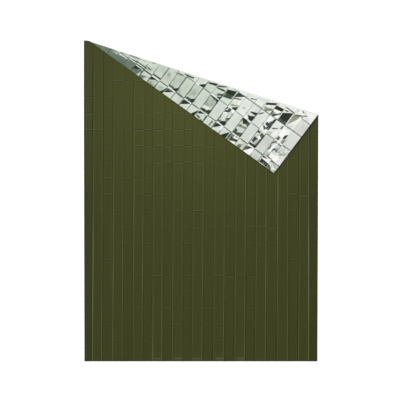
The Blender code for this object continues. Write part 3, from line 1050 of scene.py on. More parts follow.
    def crumples(self, x: np.ndarray, y: np.ndarray) -> np.ndarray:
        """Find the small crumples of the loose panels.

        Args:
            x: flat places across.
            y: flat places along.

        Returns:
            Heights, up from the silver face.
        """
        # three sets of creases that cross, each a little wavy
        rough = (
            zigzag((0.83 * x + 0.55 * y) / 0.047 + 0.35 * np.sin(61 * y))
            + zigzag((0.38 * x - 0.92 * y) / 0.052 + 0.30 * np.sin(53 * x + 1.0))
            + 0.5 * zigzag((0.97 * x + 0.22 * y) / 0.024 + 0.25 * np.sin(87 * y + 2.0))
        )
        places, strips = self.columns(), self.strips()
        height = np.zeros_like(x)
        moods = {(panel.strip, panel.number): panel.mood for panel in self.panels}
        for number, (left, right) in enumerate(zip(places, places[1:])):
            for strip, (top, bottom) in enumerate(zip(strips, strips[1:]), start=1):
                inside = (x >= left) & (x < right) & (y <= top) & (y > bottom)
                mood = moods.get((strip, number), PanelMood.TAUT)
                border = np.minimum.reduce([x - left, right - x, y - bottom])
                height += np.where(inside, mood.value * rough * np.clip(border / self.fade, 0.0, 1.0), 0.0)
        return height

    def facet_height(self, facet: Facet, x: np.ndarray, y: np.ndarray) -> np.ndarray:
        """Find one facet's slope, with the gentler slopes that lead to and from it.

        Args:
            facet: the facet.
            x: flat places across.
            y: flat places along.

        Returns:
            Heights, up from the silver face.
        """
        low, high = facet.edges(x)
        half = np.maximum(self.facet_least, (high - low) / 2)
        across = y - (low + high) / 2
        falls = math.copysign(self.facet_slope, facet.shade.value[1])
        slope = falls * half * np.clip(across / half, -1.0, 1.0)
        back = np.maximum(self.return_width, 2.0 * half)
        return_share = np.clip(1.0 - (np.abs(across) - half) / back, 0.0, 1.0)
        ends = np.clip(np.minimum(x - facet.left, facet.right - x) / self.fade + 1.0, 0.0, 1.0)
        return slope * return_share * ends

    def leans(self, x: np.ndarray, y: np.ndarray) -> np.ndarray:
        """Find which way the film of each mesh face leans.

        Args:
            x: flat places across of the faces' middles.
            y: their flat places along.

        Returns:
            One row for each face: lean to +x, lean to +y, and how crumpled the panel is.
        """
        leans = np.zeros((len(x), 3))
        places, strips = self.columns(), self.strips()
        for panel in self.panels:
            left, right = places[panel.number], places[panel.number + 1]
            inside = (x > left) & (x < right) & (y < strips[panel.strip - 1]) & (y > strips[panel.strip])
            loose = panel.mood.value / PanelMood.CRUMPLED.value
            leans[inside] = (0.0, math.tan(math.radians(panel.lean)), loose)
        crumpled = leans[:, 2].copy()
        for facet in self.facets:
            inside = facet.holds(x, y)
            leans[inside, :2] = facet.shade.value
            leans[inside, 2] = self.facet_crumple * crumpled[inside]
        return leans

    def height(self, x: np.ndarray, y: np.ndarray) -> np.ndarray:
        """Find how far the film stands out of the turned corner's plane.

        Args:
            x: flat places across.
            y: flat places along.

        Returns:
            Heights, up from the silver face.
        """
        height = self.creases(x, y) + self.crumples(x, y)
        for corner in self.corners:
            height += self.corner_height(corner, x, y)
        for facet in self.facets:
            height += self.facet_height(facet, x, y)
        from_edge = (self.cut.far - y) / self.cross_folds[0]
        behind = 1.0 - (self.cut.far - self.cross_folds[0] - y) / self.crest_back
        crest = np.clip(np.minimum(from_edge, behind), 0.0, 1.0)
        height += self.crest * crest * ease((self.crest_end - x) / self.crest_fade)
        height += self.slack * (np.sin(31 * x + 3.0 * np.sin(17 * y)) + np.sin(43 * y + 2.0 * np.sin(23 * x)))
        return height


def new_tree(name: str) -> tuple[bpy.types.Material, bpy.types.NodeTree, bpy.types.Node]:
    """Start a material that has only its surface shader.

    Args:
        name: what the material is called.

    Returns:
        The material, its nodes, and the Principled BSDF.
    """
    material = bpy.data.materials.new(name)
    material.use_nodes = True
    return material, material.node_tree, material.node_tree.nodes["Principled BSDF"]


def add_node(tree: bpy.types.NodeTree, kind: str, **settings: object) -> bpy.types.Node:
    """Add a node.

    Args:
        tree: the nodes that it joins.
        kind: its type, without the leading ShaderNode.
        settings: its properties, or with a capital its inputs, an underline for each space.

    Returns:
        The node.
    """
    node = tree.nodes.new("ShaderNode" + kind)
    for name, value in settings.items():
        if name[0].isupper():
            node.inputs[name.replace("_", " ")].default_value = value
        else:
            setattr(node, name, value)
    return node


def feed(tree: bpy.types.NodeTree, value: object, socket: bpy.types.NodeSocket) -> None:
    """Give an input what it takes.

    Args:
        tree: the nodes.
        value: a socket to link it to, or a plain value.
        socket: the input.
    """
    if isinstance(value, bpy.types.NodeSocket):
        tree.links.new(value, socket)
    else:
        socket.default_value = value


def mesh_value(tree: bpy.types.NodeTree, name: str, output: str = "Fac") -> bpy.types.NodeSocket:
    """Read a value that the mesh carries.

    Args:
        tree: the nodes that read it.
        name: what the mesh calls it.
        output: Fac for a number, Vector for a place or a lean.

    Returns:
        The value.
    """
    return add_node(tree, "Attribute", attribute_name=name).outputs[output]


def x_y_z(tree: bpy.types.NodeTree, vector: bpy.types.NodeSocket) -> bpy.types.bpy_prop_collection:
    """Split a vector.

    Args:
        tree: the nodes.
        vector: what is split.

    Returns:
        The outputs X, Y and Z.
    """
    node = tree.nodes.new("ShaderNodeSeparateXYZ")
    tree.links.new(vector, node.inputs["Vector"])
    return node.outputs


def math_node(
    tree: bpy.types.NodeTree, operation: str, first: object, second: object = None, clamp: bool = False
) -> bpy.types.NodeSocket:
    """Add a Math node.

    Args:
        tree: the nodes that it joins.
        operation: what it does.
        first: a socket or a number.
        second: a socket or a number, if it takes two.
        clamp: whether the result is kept within 0 to 1.

    Returns:
        Its output.
    """
    node = add_node(tree, "Math", operation=operation, use_clamp=clamp)
    feed(tree, first, node.inputs[0])
    if second is not None:
        feed(tree, second, node.inputs[1])
    return node.outputs[0]


def vector_node(
    tree: bpy.types.NodeTree, operation: str, first: object, second: object = None
) -> bpy.types.NodeSocket:
    """Add a Vector Math node.

    Args:
        tree: the nodes that it joins.
        operation: what it does.
        first: a socket or a vector.
        second: a socket or a vector, if it takes two, or for SCALE the socket that it is scaled by.

    Returns:
        Its output.
    """
    node = add_node(tree, "VectorMath", operation=operation)
    feed(tree, first, node.inputs[0])
    if second is not None:
        feed(tree, second, node.inputs["Scale" if operation == "SCALE" else 1])
    return node.outputs["Vector"]


def remap(
    tree: bpy.types.NodeTree,
    value: bpy.types.NodeSocket,
    low: float,
    high: float,
    to_low: float,
    to_high: float,
) -> bpy.types.NodeSocket:
    """Add a Map Range node.

    Args:
        tree: the nodes that it joins.
        value: what is mapped.
        low: value that gives to_low.
        high: value that gives to_high.
        to_low: result at the low end.
        to_high: result at the high end.

    Returns:
        Its output.
    """
    node = tree.nodes.new("ShaderNodeMapRange")
    tree.links.new(value, node.inputs["Value"])
    for name, number in (("From Min", low), ("From Max", high), ("To Min", to_low), ("To Max", to_high)):
        node.inputs[name].default_value = number
    return node.outputs["Result"]


def mix_colours(
    tree: bpy.types.NodeTree, share: bpy.types.NodeSocket, first: object, second: object
) -> bpy.types.NodeSocket:
    """Add a Mix node for colours.

    Args:
        tree: the nodes that it joins.
        share: share of the second colour.
        first: a socket or a colour.
        second: a socket or a colour.

    Returns:
        The mixed colour.
    """
    node = tree.nodes.new("ShaderNodeMix")
    node.data_type = "RGBA"
    tree.links.new(share, node.inputs["Factor"])
    feed(tree, first, node.inputs[6])
    feed(tree, second, node.inputs[7])
    return node.outputs[2]


class FilmCrinkle:
    """Fine crinkle of thin film that has been folded small, as a node group for both faces."""

    def __init__(self) -> None:
        """Build the group."""
        group = bpy.data.node_groups.new("film_crinkle", "ShaderNodeTree")
        for name, way, kind in (
            ("Place", "INPUT", "Vector"),
            ("Facets per Metre", "INPUT", "Float"),
            ("Facet Depth", "INPUT", "Float"),
            ("Height", "OUTPUT", "Float"),
            ("Mottle", "OUTPUT", "Float"),
        ):
            group.interface.new_socket(name, in_out=way, socket_type="NodeSocket" + kind)
        start, end = group.nodes.new("NodeGroupInput"), group.nodes.new("NodeGroupOutput")
        cells = add_node(group, "TexVoronoi", feature="F1")
        edges = add_node(group, "TexVoronoi", feature="DISTANCE_TO_EDGE")
        fine = add_node(group, "TexNoise", Scale=420.0, Detail=2.0, Roughness=0.55)
        broad = add_node(group, "TexNoise", Scale=9.0, Detail=3.0, Roughness=0.6)
        for texture in (cells, edges, fine, broad):
            group.links.new(start.outputs["Place"], texture.inputs["Vector"])
        for texture in (cells, edges):
            group.links.new(start.outputs["Facets per Metre"], texture.inputs["Scale"])
        crease = remap(group, edges.outputs["Distance"], 0.0, 0.12, 1.0, 0.0)
        dome = remap(group, cells.outputs["Distance"], 0.0, 0.8, 1.0, 0.0)
        facets = math_node(group, "SUBTRACT", dome, math_node(group, "MULTIPLY", crease, 0.5))
        facets = math_node(group, "MULTIPLY", facets, start.outputs["Facet Depth"])
        grain = math_node(group, "MULTIPLY", fine.outputs["Fac"], 0.00005)
        group.links.new(math_node(group, "ADD", facets, grain), end.inputs["Height"])
        group.links.new(broad.outputs["Fac"], end.inputs["Mottle"])
        self.group = group

    def place_in(self, tree: bpy.types.NodeTree, per_metre: float, depth: float) -> bpy.types.Node:
        """Put the group in a material.

        Args:
            tree: the material's nodes.
            per_metre: how many small facets there are to a metre.
            depth: their depth in metres.

        Returns:
            The group node.
        """
        node = add_node(tree, "Group", node_tree=self.group, Facets_per_Metre=per_metre, Facet_Depth=depth)
        tree.links.new(mesh_value(tree, "flat_place", "Vector"), node.inputs["Place"])
        return node


class FoldLine:
    """The thin line beside a fold, as a node group for both faces: painted highlight and shade on the olive
    face, a tilt of the normal on the silver one.
    """

    def __init__(self) -> None:
        """Build the group."""
        group = bpy.data.node_groups.new("fold_line", "ShaderNodeTree")
        for name in ("Side", "Strength", "Shift", "Half Width"):
            group.interface.new_socket(name, in_out="INPUT", socket_type="NodeSocketFloat")
        group.interface.new_socket("Line", in_out="OUTPUT", socket_type="NodeSocketFloat")
        start, end = group.nodes.new("NodeGroupInput"), group.nodes.new("NodeGroupOutput")
        away = math_node(group, "SUBTRACT", start.outputs["Side"], start.outputs["Shift"])
        share = math_node(group, "DIVIDE", math_node(group, "ABSOLUTE", away), start.outputs["Half Width"])
        line = math_node(group, "SUBTRACT", 1.0, share, clamp=True)
        group.links.new(math_node(group, "MULTIPLY", line, start.outputs["Strength"]), end.inputs["Line"])
        self.group = group

    def draw(
        self, tree: bpy.types.NodeTree, side: str, strength: str, shift: float, half_width: float
    ) -> bpy.types.NodeSocket:
        """Put the group in a material.

        Args:
            tree: the material's nodes.
            side: attribute with the distance to the fold.
            strength: attribute with the fold's strength.
            shift: how far the line runs beside the fold.
            half_width: half its width.

        Returns:
            The line, as strong as the fold is.
        """
        node = add_node(tree, "Group", node_tree=self.group, Shift=shift, Half_Width=half_width)
        tree.links.new(mesh_value(tree, side), node.inputs["Side"])
        tree.links.new(mesh_value(tree, strength), node.inputs["Strength"])
        return node.outputs["Line"]


@dataclass(frozen=True)
class OliveFinish:
    """Satin olive coat on the film."""

    colour: tuple[float, float, float, float] = (0.0361, 0.0399, 0.0087, 1.0)
    bright: tuple[float, float, float, float] = (0.0545, 0.0611, 0.0145, 1.0)
    # the next two colours paint the crease lines: a highlight, partly real wear, and a shade
    worn_and_highlit: tuple[float, float, float, float] = (0.168, 0.192, 0.082, 1.0)
    painted_shade: tuple[float, float, float, float] = (0.008, 0.010, 0.002, 1.0)
    lit_line: tuple[float, float] = (0.0042, 0.0027)     # shift and half width
    shade_line: tuple[float, float] = (-0.0046, 0.0030)
    cross_line: tuple[float, float] = (0.0032, 0.0026)
    lit_share: float = 0.66
    shade_share: float = 0.80
    cross_share: float = 0.22
    shade_weight: float = 2.6       # of a painted shade line beside a painted highlight across the sheet
    streak: float = 0.15           # of the fine marks along the sheet
    streaks_per_metre: float = 105.0
    streak_length: float = 0.45
    streak_range: tuple[float, float] = (0.42, 0.62)    # of the noise by which they come and go
    streak_least: float = 0.15
    mottle: float = 0.05
    roughness: tuple[float, float] = (0.40, 0.48)
    bump: float = 0.7
    specular: float = 0.16
    facets_per_metre: float = 55.0
    facet_depth: float = 0.00003

    def streaks(self, tree: bpy.types.NodeTree, place: bpy.types.NodeSocket) -> bpy.types.NodeSocket:
        """Draw the fine marks along the sheet, which come and go.

        Args:
            tree: the material's nodes.
            place: flat places.

        Returns:
            Shares to add to the coat's tone.
        """
        per_metre = (self.streaks_per_metre, 1.0 / self.streak_length, 1.0)
        fine = add_node(tree, "TexNoise", Scale=1.0, Detail=2.0, Roughness=0.7)
        tree.links.new(vector_node(tree, "MULTIPLY", place, per_metre), fine.inputs["Vector"])
        where = add_node(tree, "TexNoise", Scale=5.0, Detail=1.0)
        tree.links.new(place, where.inputs["Vector"])
        shown = remap(tree, where.outputs["Fac"], *self.streak_range, self.streak_least, 1.0)
        marks = remap(tree, fine.outputs["Fac"], *NOISE, -self.streak, self.streak)
        return math_node(tree, "MULTIPLY", marks, shown)

    def creases(self, tree: bpy.types.NodeTree, fold: FoldLine) -> bpy.types.NodeSocket:
        """Draw the lines along the creases: painted highlights, partly real wear, and painted shade.

        Args:
            tree: the material's nodes.
            fold: the thin line beside a fold, drawn here as painted highlight and shade.

        Returns:
            Positive where a highlight, partly real wear, is painted on the coat, negative where shade is
            painted on it.
        """
        lit = fold.draw(tree, "long_side", "long_lit", *self.lit_line)
        painted_shade = fold.draw(tree, "long_side", "long_painted_shade", *self.shade_line)
        # each cross fold gets a painted highlight on one side and painted shade on the other
        shift, half_width = self.cross_line
        beyond = fold.draw(tree, "cross_side", "cross_strength", shift, half_width)
        before = fold.draw(tree, "cross_side", "cross_strength", -shift, half_width)
        across = math_node(tree, "MULTIPLY", math_node(tree, "SUBTRACT", beyond, before), self.cross_share)
        bright = math_node(tree, "MAXIMUM", across, 0.0)
        dark = math_node(tree, "MULTIPLY", math_node(tree, "MINIMUM", across, 0.0), self.shade_weight)
        along = math_node(tree, "MULTIPLY", lit, self.lit_share)
        beside = math_node(tree, "MULTIPLY", painted_shade, -self.shade_share)
        worn_and_highlit = math_node(tree, "MAXIMUM", along, bright)
        painted_highlight = math_node(tree, "MAXIMUM", worn_and_highlit, mesh_value(tree, "painted_highlight"))
        return math_node(tree, "ADD", painted_highlight, math_node(tree, "MINIMUM", beside, dark))

    def material(self, crinkle: FilmCrinkle, fold: FoldLine) -> bpy.types.Material:
        """Build the material.

        Args:
            crinkle: the film's fine crinkle.
            fold: the thin line beside a fold, drawn here as painted highlight and shade.

        Returns:
            The material.
        """
        material, tree, surface = new_tree("olive_face")
        film = crinkle.place_in(tree, self.facets_per_metre, self.facet_depth)
        mottle = remap(tree, film.outputs["Mottle"], *NOISE, -self.mottle, self.mottle)
        # the mesh's tone carries painted light and shade
        share = math_node(tree, "ADD", mottle, mesh_value(tree, "tone"))
        streaks = self.streaks(tree, mesh_value(tree, "flat_place", "Vector"))
        share = math_node(tree, "ADD", share, streaks, clamp=True)
        coat = mix_colours(tree, share, self.colour, self.bright)
        # painted highlights and painted shade of the creases go into the coat's colour
        lines = self.creases(tree, fold)
        painted_highlight = math_node(tree, "MULTIPLY", lines, 1.0, clamp=True)
        painted_dark = math_node(tree, "MULTIPLY", lines, -1.0, clamp=True)
        coat = mix_colours(tree, painted_highlight, coat, self.worn_and_highlit)
        tree.links.new(mix_colours(tree, painted_dark, coat, self.painted_shade), surface.inputs["Base Color"])
        roughness = remap(tree, film.outputs["Mottle"], *NOISE, *self.roughness)
        tree.links.new(roughness, surface.inputs["Roughness"])
        surface.inputs["Specular IOR Level"].default_value = self.specular
        bump = add_node(tree, "Bump", Strength=self.bump, Distance=1.0)
        tree.links.new(film.outputs["Height"], bump.inputs["Height"])
        tree.links.new(bump.outputs["Normal"], surface.inputs["Normal"])
        return material


@dataclass(frozen=True)
class SilverFinish:
    """Bare metal film: mirror bright, with a breath of green towards the start of the roll."""

    green: tuple[float, float, float, float] = (0.885, 0.92, 0.875, 1.0)
    neutral: tuple[float, float, float, float] = (0.925, 0.918, 0.912, 1.0)
    facets_per_metre: float = 75.0
    facet_depth: float = 0.00005
    neutral_span: tuple[float, float] = (0.15, 0.65)    # x over which the green goes
    mottle: float = 0.2
    roughness: tuple[float, float] = (0.035, 0.07)
    bump: float = 0.5
    line_half_width: float = 0.0024
    long_tilt: float = 0.20        # slope of the film in a fold
    cross_tilt: float = 0.45
    crumples: tuple[tuple[float, float], ...] = ((36.0, 0.22), (80.0, 0.12))    # cells to a metre, and tilt
    waves_per_metre: float = 17.0
    wave_tilt: float = 0.028       # of the soft waves
    wave_fade: tuple[float, float] = (-0.38, -0.20)    # x between which the waves come up to the full
    wave_least: float = 0.15       # share of them left in the narrow part
    crumple_turn: float = math.radians(-62)    # waves and crumples are drawn out this way
    crumple_stretch: float = 2.4

    def leaning_normal(self, tree: bpy.types.NodeTree, normal: bpy.types.NodeSocket) -> bpy.types.NodeSocket:
        """Lean the film the way each facet faces, and by small random facets where it is crumpled.

        Args:
            tree: the material's nodes.
            normal: the film's normal before.

        Returns:
            The normal.
        """
        lean = mesh_value(tree, "lean", "Vector")
        where = mesh_value(tree, "flat_place", "Vector")
        leaning = vector_node(tree, "ADD", normal, vector_node(tree, "MULTIPLY", lean, (1.0, 1.0, 0.0)))
        turned = add_node(tree, "Mapping", vector_type="POINT", Rotation=(0.0, 0.0, self.crumple_turn))
        tree.links.new(where, turned.inputs["Vector"])
        longer = (1.0 / self.crumple_stretch, 1.0, 1.0)
        drawn = vector_node(tree, "MULTIPLY", turned.outputs["Vector"], longer)
        waves = add_node(tree, "TexNoise", Scale=self.waves_per_metre, Detail=1.5)
        tree.links.new(drawn, waves.inputs["Vector"])
        shown = remap(tree, x_y_z(tree, where)["X"], *self.wave_fade, self.wave_least, 1.0)
        leaning = self.tilted(tree, leaning, waves.outputs["Color"], 2 * self.wave_tilt, shown)
        crumpled = x_y_z(tree, lean)["Z"]
        for per_metre, tilt in self.crumples:
            cells = add_node(tree, "TexVoronoi", feature="F1", Scale=per_metre)
            tree.links.new(drawn, cells.inputs["Vector"])
            leaning = self.tilted(tree, leaning, cells.outputs["Color"], tilt, crumpled)
        return leaning

    def tilted(
        self,
        tree: bpy.types.NodeTree,
        normal: bpy.types.NodeSocket,
        colour: bpy.types.NodeSocket,
        tilt: float,
        share: bpy.types.NodeSocket,
    ) -> bpy.types.NodeSocket:
        """Tilt a normal the way that a texture's colour says.

        Args:
            tree: the material's nodes.
            normal: the normal before.
            colour: the texture, of which red tilts it across the sheet and green along it.
            tilt: slope between the colour's lowest and highest values.
            share: how much of the tilt is shown.

        Returns:
            The normal.
        """
        centred = vector_node(tree, "SUBTRACT", colour, (0.5, 0.5, 0.5))
        level = vector_node(tree, "MULTIPLY", centred, (tilt, tilt, 0.0))
        return vector_node(tree, "ADD", normal, vector_node(tree, "SCALE", level, share))

    def folded_normal(
        self, tree: bpy.types.NodeTree, fold: FoldLine, normal: bpy.types.NodeSocket, turn: float
    ) -> bpy.types.NodeSocket:
        """Tilt the film in its thin folds.

        Args:
            tree: the material's nodes.
            fold: the line that a fold leaves.
            normal: the film's normal beside the folds.
            turn: angle of the roll, which the corner's folds are mirrored about.

        Returns:
            The normal.
        """
        cosine, sine = math.cos(2 * turn), math.sin(2 * turn)
        for side, strength, tilt, way in (
            ("long_side", "long_lit", self.long_tilt, (cosine, -sine, 0.0)),
            ("cross_side", "cross_strength", self.cross_tilt, (sine, cosine, 0.0)),
        ):
            line = fold.draw(tree, side, strength, 0.0, self.line_half_width)
            lean = vector_node(tree, "SCALE", tuple(tilt * part for part in way), line)
            normal = vector_node(tree, "ADD", normal, lean)
        return vector_node(tree, "NORMALIZE", normal)

    def material(self, crinkle: FilmCrinkle, fold: FoldLine, turn: float) -> bpy.types.Material:
        """Build the material.

        Args:
            crinkle: the film's fine crinkle.
            fold: the line that a fold leaves.
            turn: angle of the roll.

        Returns:
            The material.
        """
        material, tree, surface = new_tree("silver_face")
        film = crinkle.place_in(tree, self.facets_per_metre, self.facet_depth)
        across = x_y_z(tree, mesh_value(tree, "flat_place", "Vector"))["X"]
        side = remap(tree, across, *self.neutral_span, 0.0, 1.0)
        mottle = remap(tree, film.outputs["Mottle"], *NOISE, -self.mottle, self.mottle)
        share = math_node(tree, "ADD", side, mottle, clamp=True)
        tree.links.new(mix_colours(tree, share, self.green, self.neutral), surface.inputs["Base Color"])
        roughness = remap(tree, film.outputs["Mottle"], *NOISE, *self.roughness)
        tree.links.new(roughness, surface.inputs["Roughness"])
        surface.inputs["Metallic"].default_value = 1.0
        bump = add_node(tree, "Bump", Strength=self.bump, Distance=1.0)
        tree.links.new(film.outputs["Height"], bump.inputs["Height"])
        leaning = self.leaning_normal(tree, bump.outputs["Normal"])
        tree.links.new(self.folded_normal(tree, fold, leaning, turn), surface.inputs["Normal"])
        return material


@dataclass(frozen=True)
class OliveTone:
    """How light the olive coat is, in shares of its bright colour: painted light and shade with a little
    random tone.
    """

    pleats: OlivePleats = OlivePleats()
    # y where each part starts, and the length over which it comes in
    near_part: tuple[float, float] = (0.42, 0.45)
    far_part: tuple[float, float] = (-0.20, 0.90)
    step_part: tuple[float, float] = (-0.60, 0.35)
    glow_part: tuple[float, float] = (-0.35, 0.50)
    plain: float = 0.40
    # painted light: lighter towards the far part
    far_gain: float = 0.14
    side_loss: float = 0.24        # painted shade outside the outermost folds of the near part
    edge_loss: float = 0.16        # more painted shade, added to that at the edges
    beside_loss: float = 0.07      # painted shade just inside the outermost folds
    beside_place: float = 0.03
    beside_reach: float = 0.05
    pleat_change: float = 0.012    # at random from pleat to pleat
    pleat_step: float = 0.05       # painted light and shade by turns at the near end
    glow: float = 0.07             # painted pool of light in the middle of the near part
    glow_reach: float = 0.60

    def shares(self, x: np.ndarray, y: np.ndarray) -> np.ndarray:
        """Find how light the coat is: painted light towards the far part and in a glow in the middle of the
        near part, painted shade along the sides of the near part, and painted light and shade by turns on the
        pleats at the near end.

        Args:
            x: flat places across.
            y: flat places along.

        Returns:
            Shares of the bright colour.
        """
        folds = self.pleats.folds
        first, last = self.pleats.place(folds[0], y), self.pleats.place(folds[-1], y)
        outside = np.maximum(first - x, x - last)
        pleat = np.searchsorted([float(self.pleats.place(fold, 0.0)) for fold in folds], x)
        near, step, glow = (
            ease((start - y) / length) for start, length in (self.near_part, self.step_part, self.glow_part)
        )
        far = ease((y - self.far_part[0]) / self.far_part[1])
        to_edge = outside / folds[0].from_left
        side = np.where(outside > 0.0, self.side_loss + self.edge_loss * to_edge, 0.0)
        beside = self.beside_loss * tent(outside + self.beside_place, self.beside_reach)
        by_turns = (-1.0) ** pleat * step * (outside < 0.0)
        glow = self.glow * glow * tent(x, self.glow_reach)
        # random tone from pleat to pleat, plus the painted glow and the painted light and shade by turns
        uneven = self.pleat_change * np.sin(2.9 * pleat) + glow - self.pleat_step * by_turns
        return self.plain + self.far_gain * far + uneven - near * np.maximum(side, beside)


@dataclass(frozen=True)
class FoilBlanket:
    """The whole sheet."""

    cut: Cut = Cut()
    corner: TurnedCorner = TurnedCorner()
    pleats: OlivePleats = OlivePleats()
    panels: SilverPanels = SilverPanels()
    tone: OliveTone = OliveTone()
    olive: OliveFinish = OliveFinish()
    silver: SilverFinish = SilverFinish()
    snap: float = 0.0002           # points nearer than this to a line are taken as lying on it
    near_by: float = 0.009         # of a facet: about the size of a mesh face
    still: float = 0.00001         # angle at the apex within which points are taken as lying on a line
    flap_depth: float = 0.52       # from the far edge to below the turned corner
    sharp: float = math.radians(35)

    def part(
        self, sheet: bmesh.types.BMesh, faces: list, through: tuple[float, float], side: tuple[float, float]
    ) -> list:
        """Part some faces of the flat sheet along a straight line.

        Args:
            sheet: the flat sheet.
            faces: the faces to part.
            through: a point on the line.
            side: direction square to the line.

        Returns:
            All that the faces become.
        """
        edges = {edge for face in faces for edge in face.edges}
        points = {point for face in faces for point in face.verts}
        parts = bmesh.ops.bisect_plane(
            sheet, geom=list(points) + list(edges) + faces, plane_co=Vector((*through, 0.0)),
            plane_no=Vector((*side, 0.0)).normalized(), dist=self.snap,
        )
        return [part for part in parts["geom"] if isinstance(part, bmesh.types.BMFace)]

    def part_across(
        self,
        sheet: bmesh.types.BMesh,
        faces: list,
        near: Iterable[float],
        far: Iterable[float],
        rows: list[float],
    ) -> None:
        """Part faces by lines along the sheet and then by lines across it.

        Args:
            sheet: the flat sheet.
            faces: the faces to part.
            near: x of each line along the sheet, at the near edge.
            far: x of each of those lines at the far edge.
            rows: y of each line across the sheet.
        """
        for near_x, far_x in zip(near, far):
            faces = self.part(sheet, faces, (near_x, self.cut.near), (self.cut.length, near_x - far_x))
        for row in sorted(rows):
            faces = self.part(sheet, faces, (0.0, row), (0.0, 1.0))
            faces = [face for face in faces if max(corner.co.y for corner in face.verts) > row + self.snap]

    def part_facets(self, sheet: bmesh.types.BMesh) -> None:
        """Part the turned corner along the sides of its facets.

        Args:
            sheet: the flat sheet.
        """
        for facet in self.panels.facets:
            left, right = facet.left - self.near_by, facet.right + self.near_by
            low = min(facet.left_low, facet.right_low) - self.near_by
            high = max(facet.left_high, facet.right_high) + self.near_by
            middles = ((face, face.calc_center_median()) for face in sheet.faces)
            faces = [face for face, at in middles if low < at.y < high and left < at.x < right]
            for through, side in facet.sides():
                faces = self.part(sheet, faces, through, side)

    def flat_sheet(self) -> bmesh.types.BMesh:
        """Part the flat sheet around the roll and along its creases.

        Returns:
            The flat sheet.
        """
        cut, corner = self.cut, self.corner
        sheet = bmesh.new()
        outline = ((cut.left, cut.near), (cut.right, cut.near), (cut.right, cut.far), (cut.left, cut.far))
        faces = [sheet.faces.new([sheet.verts.new((x, y, 0.0)) for x, y in outline])]
        for step in range(corner.steps + 1):
            angle = corner.roll_begin + math.pi * corner.spread * step / corner.steps
            side = corner.out * math.cos(angle) - corner.way * math.sin(angle)
            faces = self.part(sheet, faces, tuple(corner.apex), tuple(side))
        flap, floor = [], []
        for face in faces:
            middle = np.array([face.calc_center_median()[:2]])
            (flap if corner.polar(middle)[1][0] > corner.roll_end else floor).append(face)
        pleats, panels = self.pleats, self.panels
        self.part_across(
            sheet, floor, pleats.lines_across(cut.near), pleats.lines_across(cut.far), pleats.lines_along()
        )
        columns = panels.lines_across()
        self.part_across(sheet, flap, columns, columns, panels.lines_along(cut.far - self.flap_depth))
        self.part_facets(sheet)
        bmesh.ops.triangulate(sheet, faces=sheet.faces[:], quad_method="SHORT_EDGE", ngon_method="BEAUTY")
        return sheet

    def marks(self, flat: np.ndarray) -> CreaseMarks:
        """Find where the creases are: those of the silver face on the turned corner, none on the roll.

        Args:
            flat: one row of x and y for each place.

        Returns:
            Distances and strengths.
        """
        angle = self.corner.polar(flat)[1]
        low = self.pleats.marks(flat[:, 0], flat[:, 1])
        top = self.panels.marks(flat[:, 0], flat[:, 1])
        begin, end = self.corner.roll_begin, self.corner.roll_end
        turned = angle > end - self.still
        on_roll = (angle > begin + self.still) & (angle < end + self.still)
        marks = CreaseMarks(*(np.where(turned, above, below) for above, below in zip(top, low)))
        strengths = ("long_lit", "long_painted_shade", "cross_strength", "painted_highlight")
        return marks._replace(**{name: np.where(on_roll, 0.0, getattr(marks, name)) for name in strengths})

    def build(self) -> bpy.types.Object:
        """Build the sheet as one bare face, crease it and turn its corner over.

        Returns:
            The sheet.
        """
        sheet = self.flat_sheet()
        data = bpy.data.meshes.new("foil_sheet")
        sheet.to_mesh(data)
        sheet.free()
        flat = np.empty(len(data.vertices) * 3)
        data.vertices.foreach_get("co", flat)
        flat = flat.reshape(-1, 3)
        x, y = flat[:, 0], flat[:, 1]
        ridges = self.pleats.height(x, y)
        pops = self.panels.height(x, y)
        # tone: how light the olive coat is, with its painted light and shade
        values_of = {**self.marks(flat[:, :2])._asdict(), "tone": self.tone.shares(x, y)}
        for name, values in values_of.items():
            data.attributes.new(name, "FLOAT", "POINT").data.foreach_set("value", values.astype(np.float32))
        middles = flat[np.array([face.vertices[:] for face in data.polygons])].mean(axis=1)
        leans = self.panels.leans(middles[:, 0], middles[:, 1])
        leans[self.corner.polar(middles[:, :2])[1] < self.corner.roll_end] = 0.0
        for name, domain, vectors in (("flat_place", "POINT", flat), ("lean", "FACE", leans)):
            carried = data.attributes.new(name, "FLOAT_VECTOR", domain)
            carried.data.foreach_set("vector", vectors.astype(np.float32).ravel())
        placed = self.corner.lay(flat[:, :2], ridges, pops)
        data.vertices.foreach_set("co", placed.astype(np.float32).ravel())
        data.update()
        blanket = bpy.data.objects.new("foil_sheet", data)
        bpy.context.scene.collection.objects.link(blanket)
        return blanket

    def thicken(self, blanket: bpy.types.Object) -> None:
        """Give the film its thickness and round its creases.

        Args:
            blanket: the sheet.
        """
        bpy.ops.object.select_all(action="DESELECT")
        blanket.select_set(True)
        bpy.context.view_layer.objects.active = blanket
        wall = blanket.modifiers.new("film", "SOLIDIFY")
        wall.thickness = self.cut.film
        wall.offset = 1.0
        wall.material_offset = 1
        wall.material_offset_rim = 1
        bpy.ops.object.modifier_apply(modifier=wall.name)
        bpy.ops.object.shade_smooth_by_angle(angle=self.sharp)

    def dress(self, blanket: bpy.types.Object) -> None:
        """Give each face of the film its finish, before it gets its thickness.

        Args:
            blanket: the sheet.
        """
        crinkle, fold = FilmCrinkle(), FoldLine()
        blanket.data.materials.append(self.olive.material(crinkle, fold))
        blanket.data.materials.append(self.silver.material(crinkle, fold, self.corner.turn))


class Lamp(NamedTuple):
    """A square lamp that faces straight down."""

    name: str
    x: float
    y: float
    z: float
    size: float
    watts: float


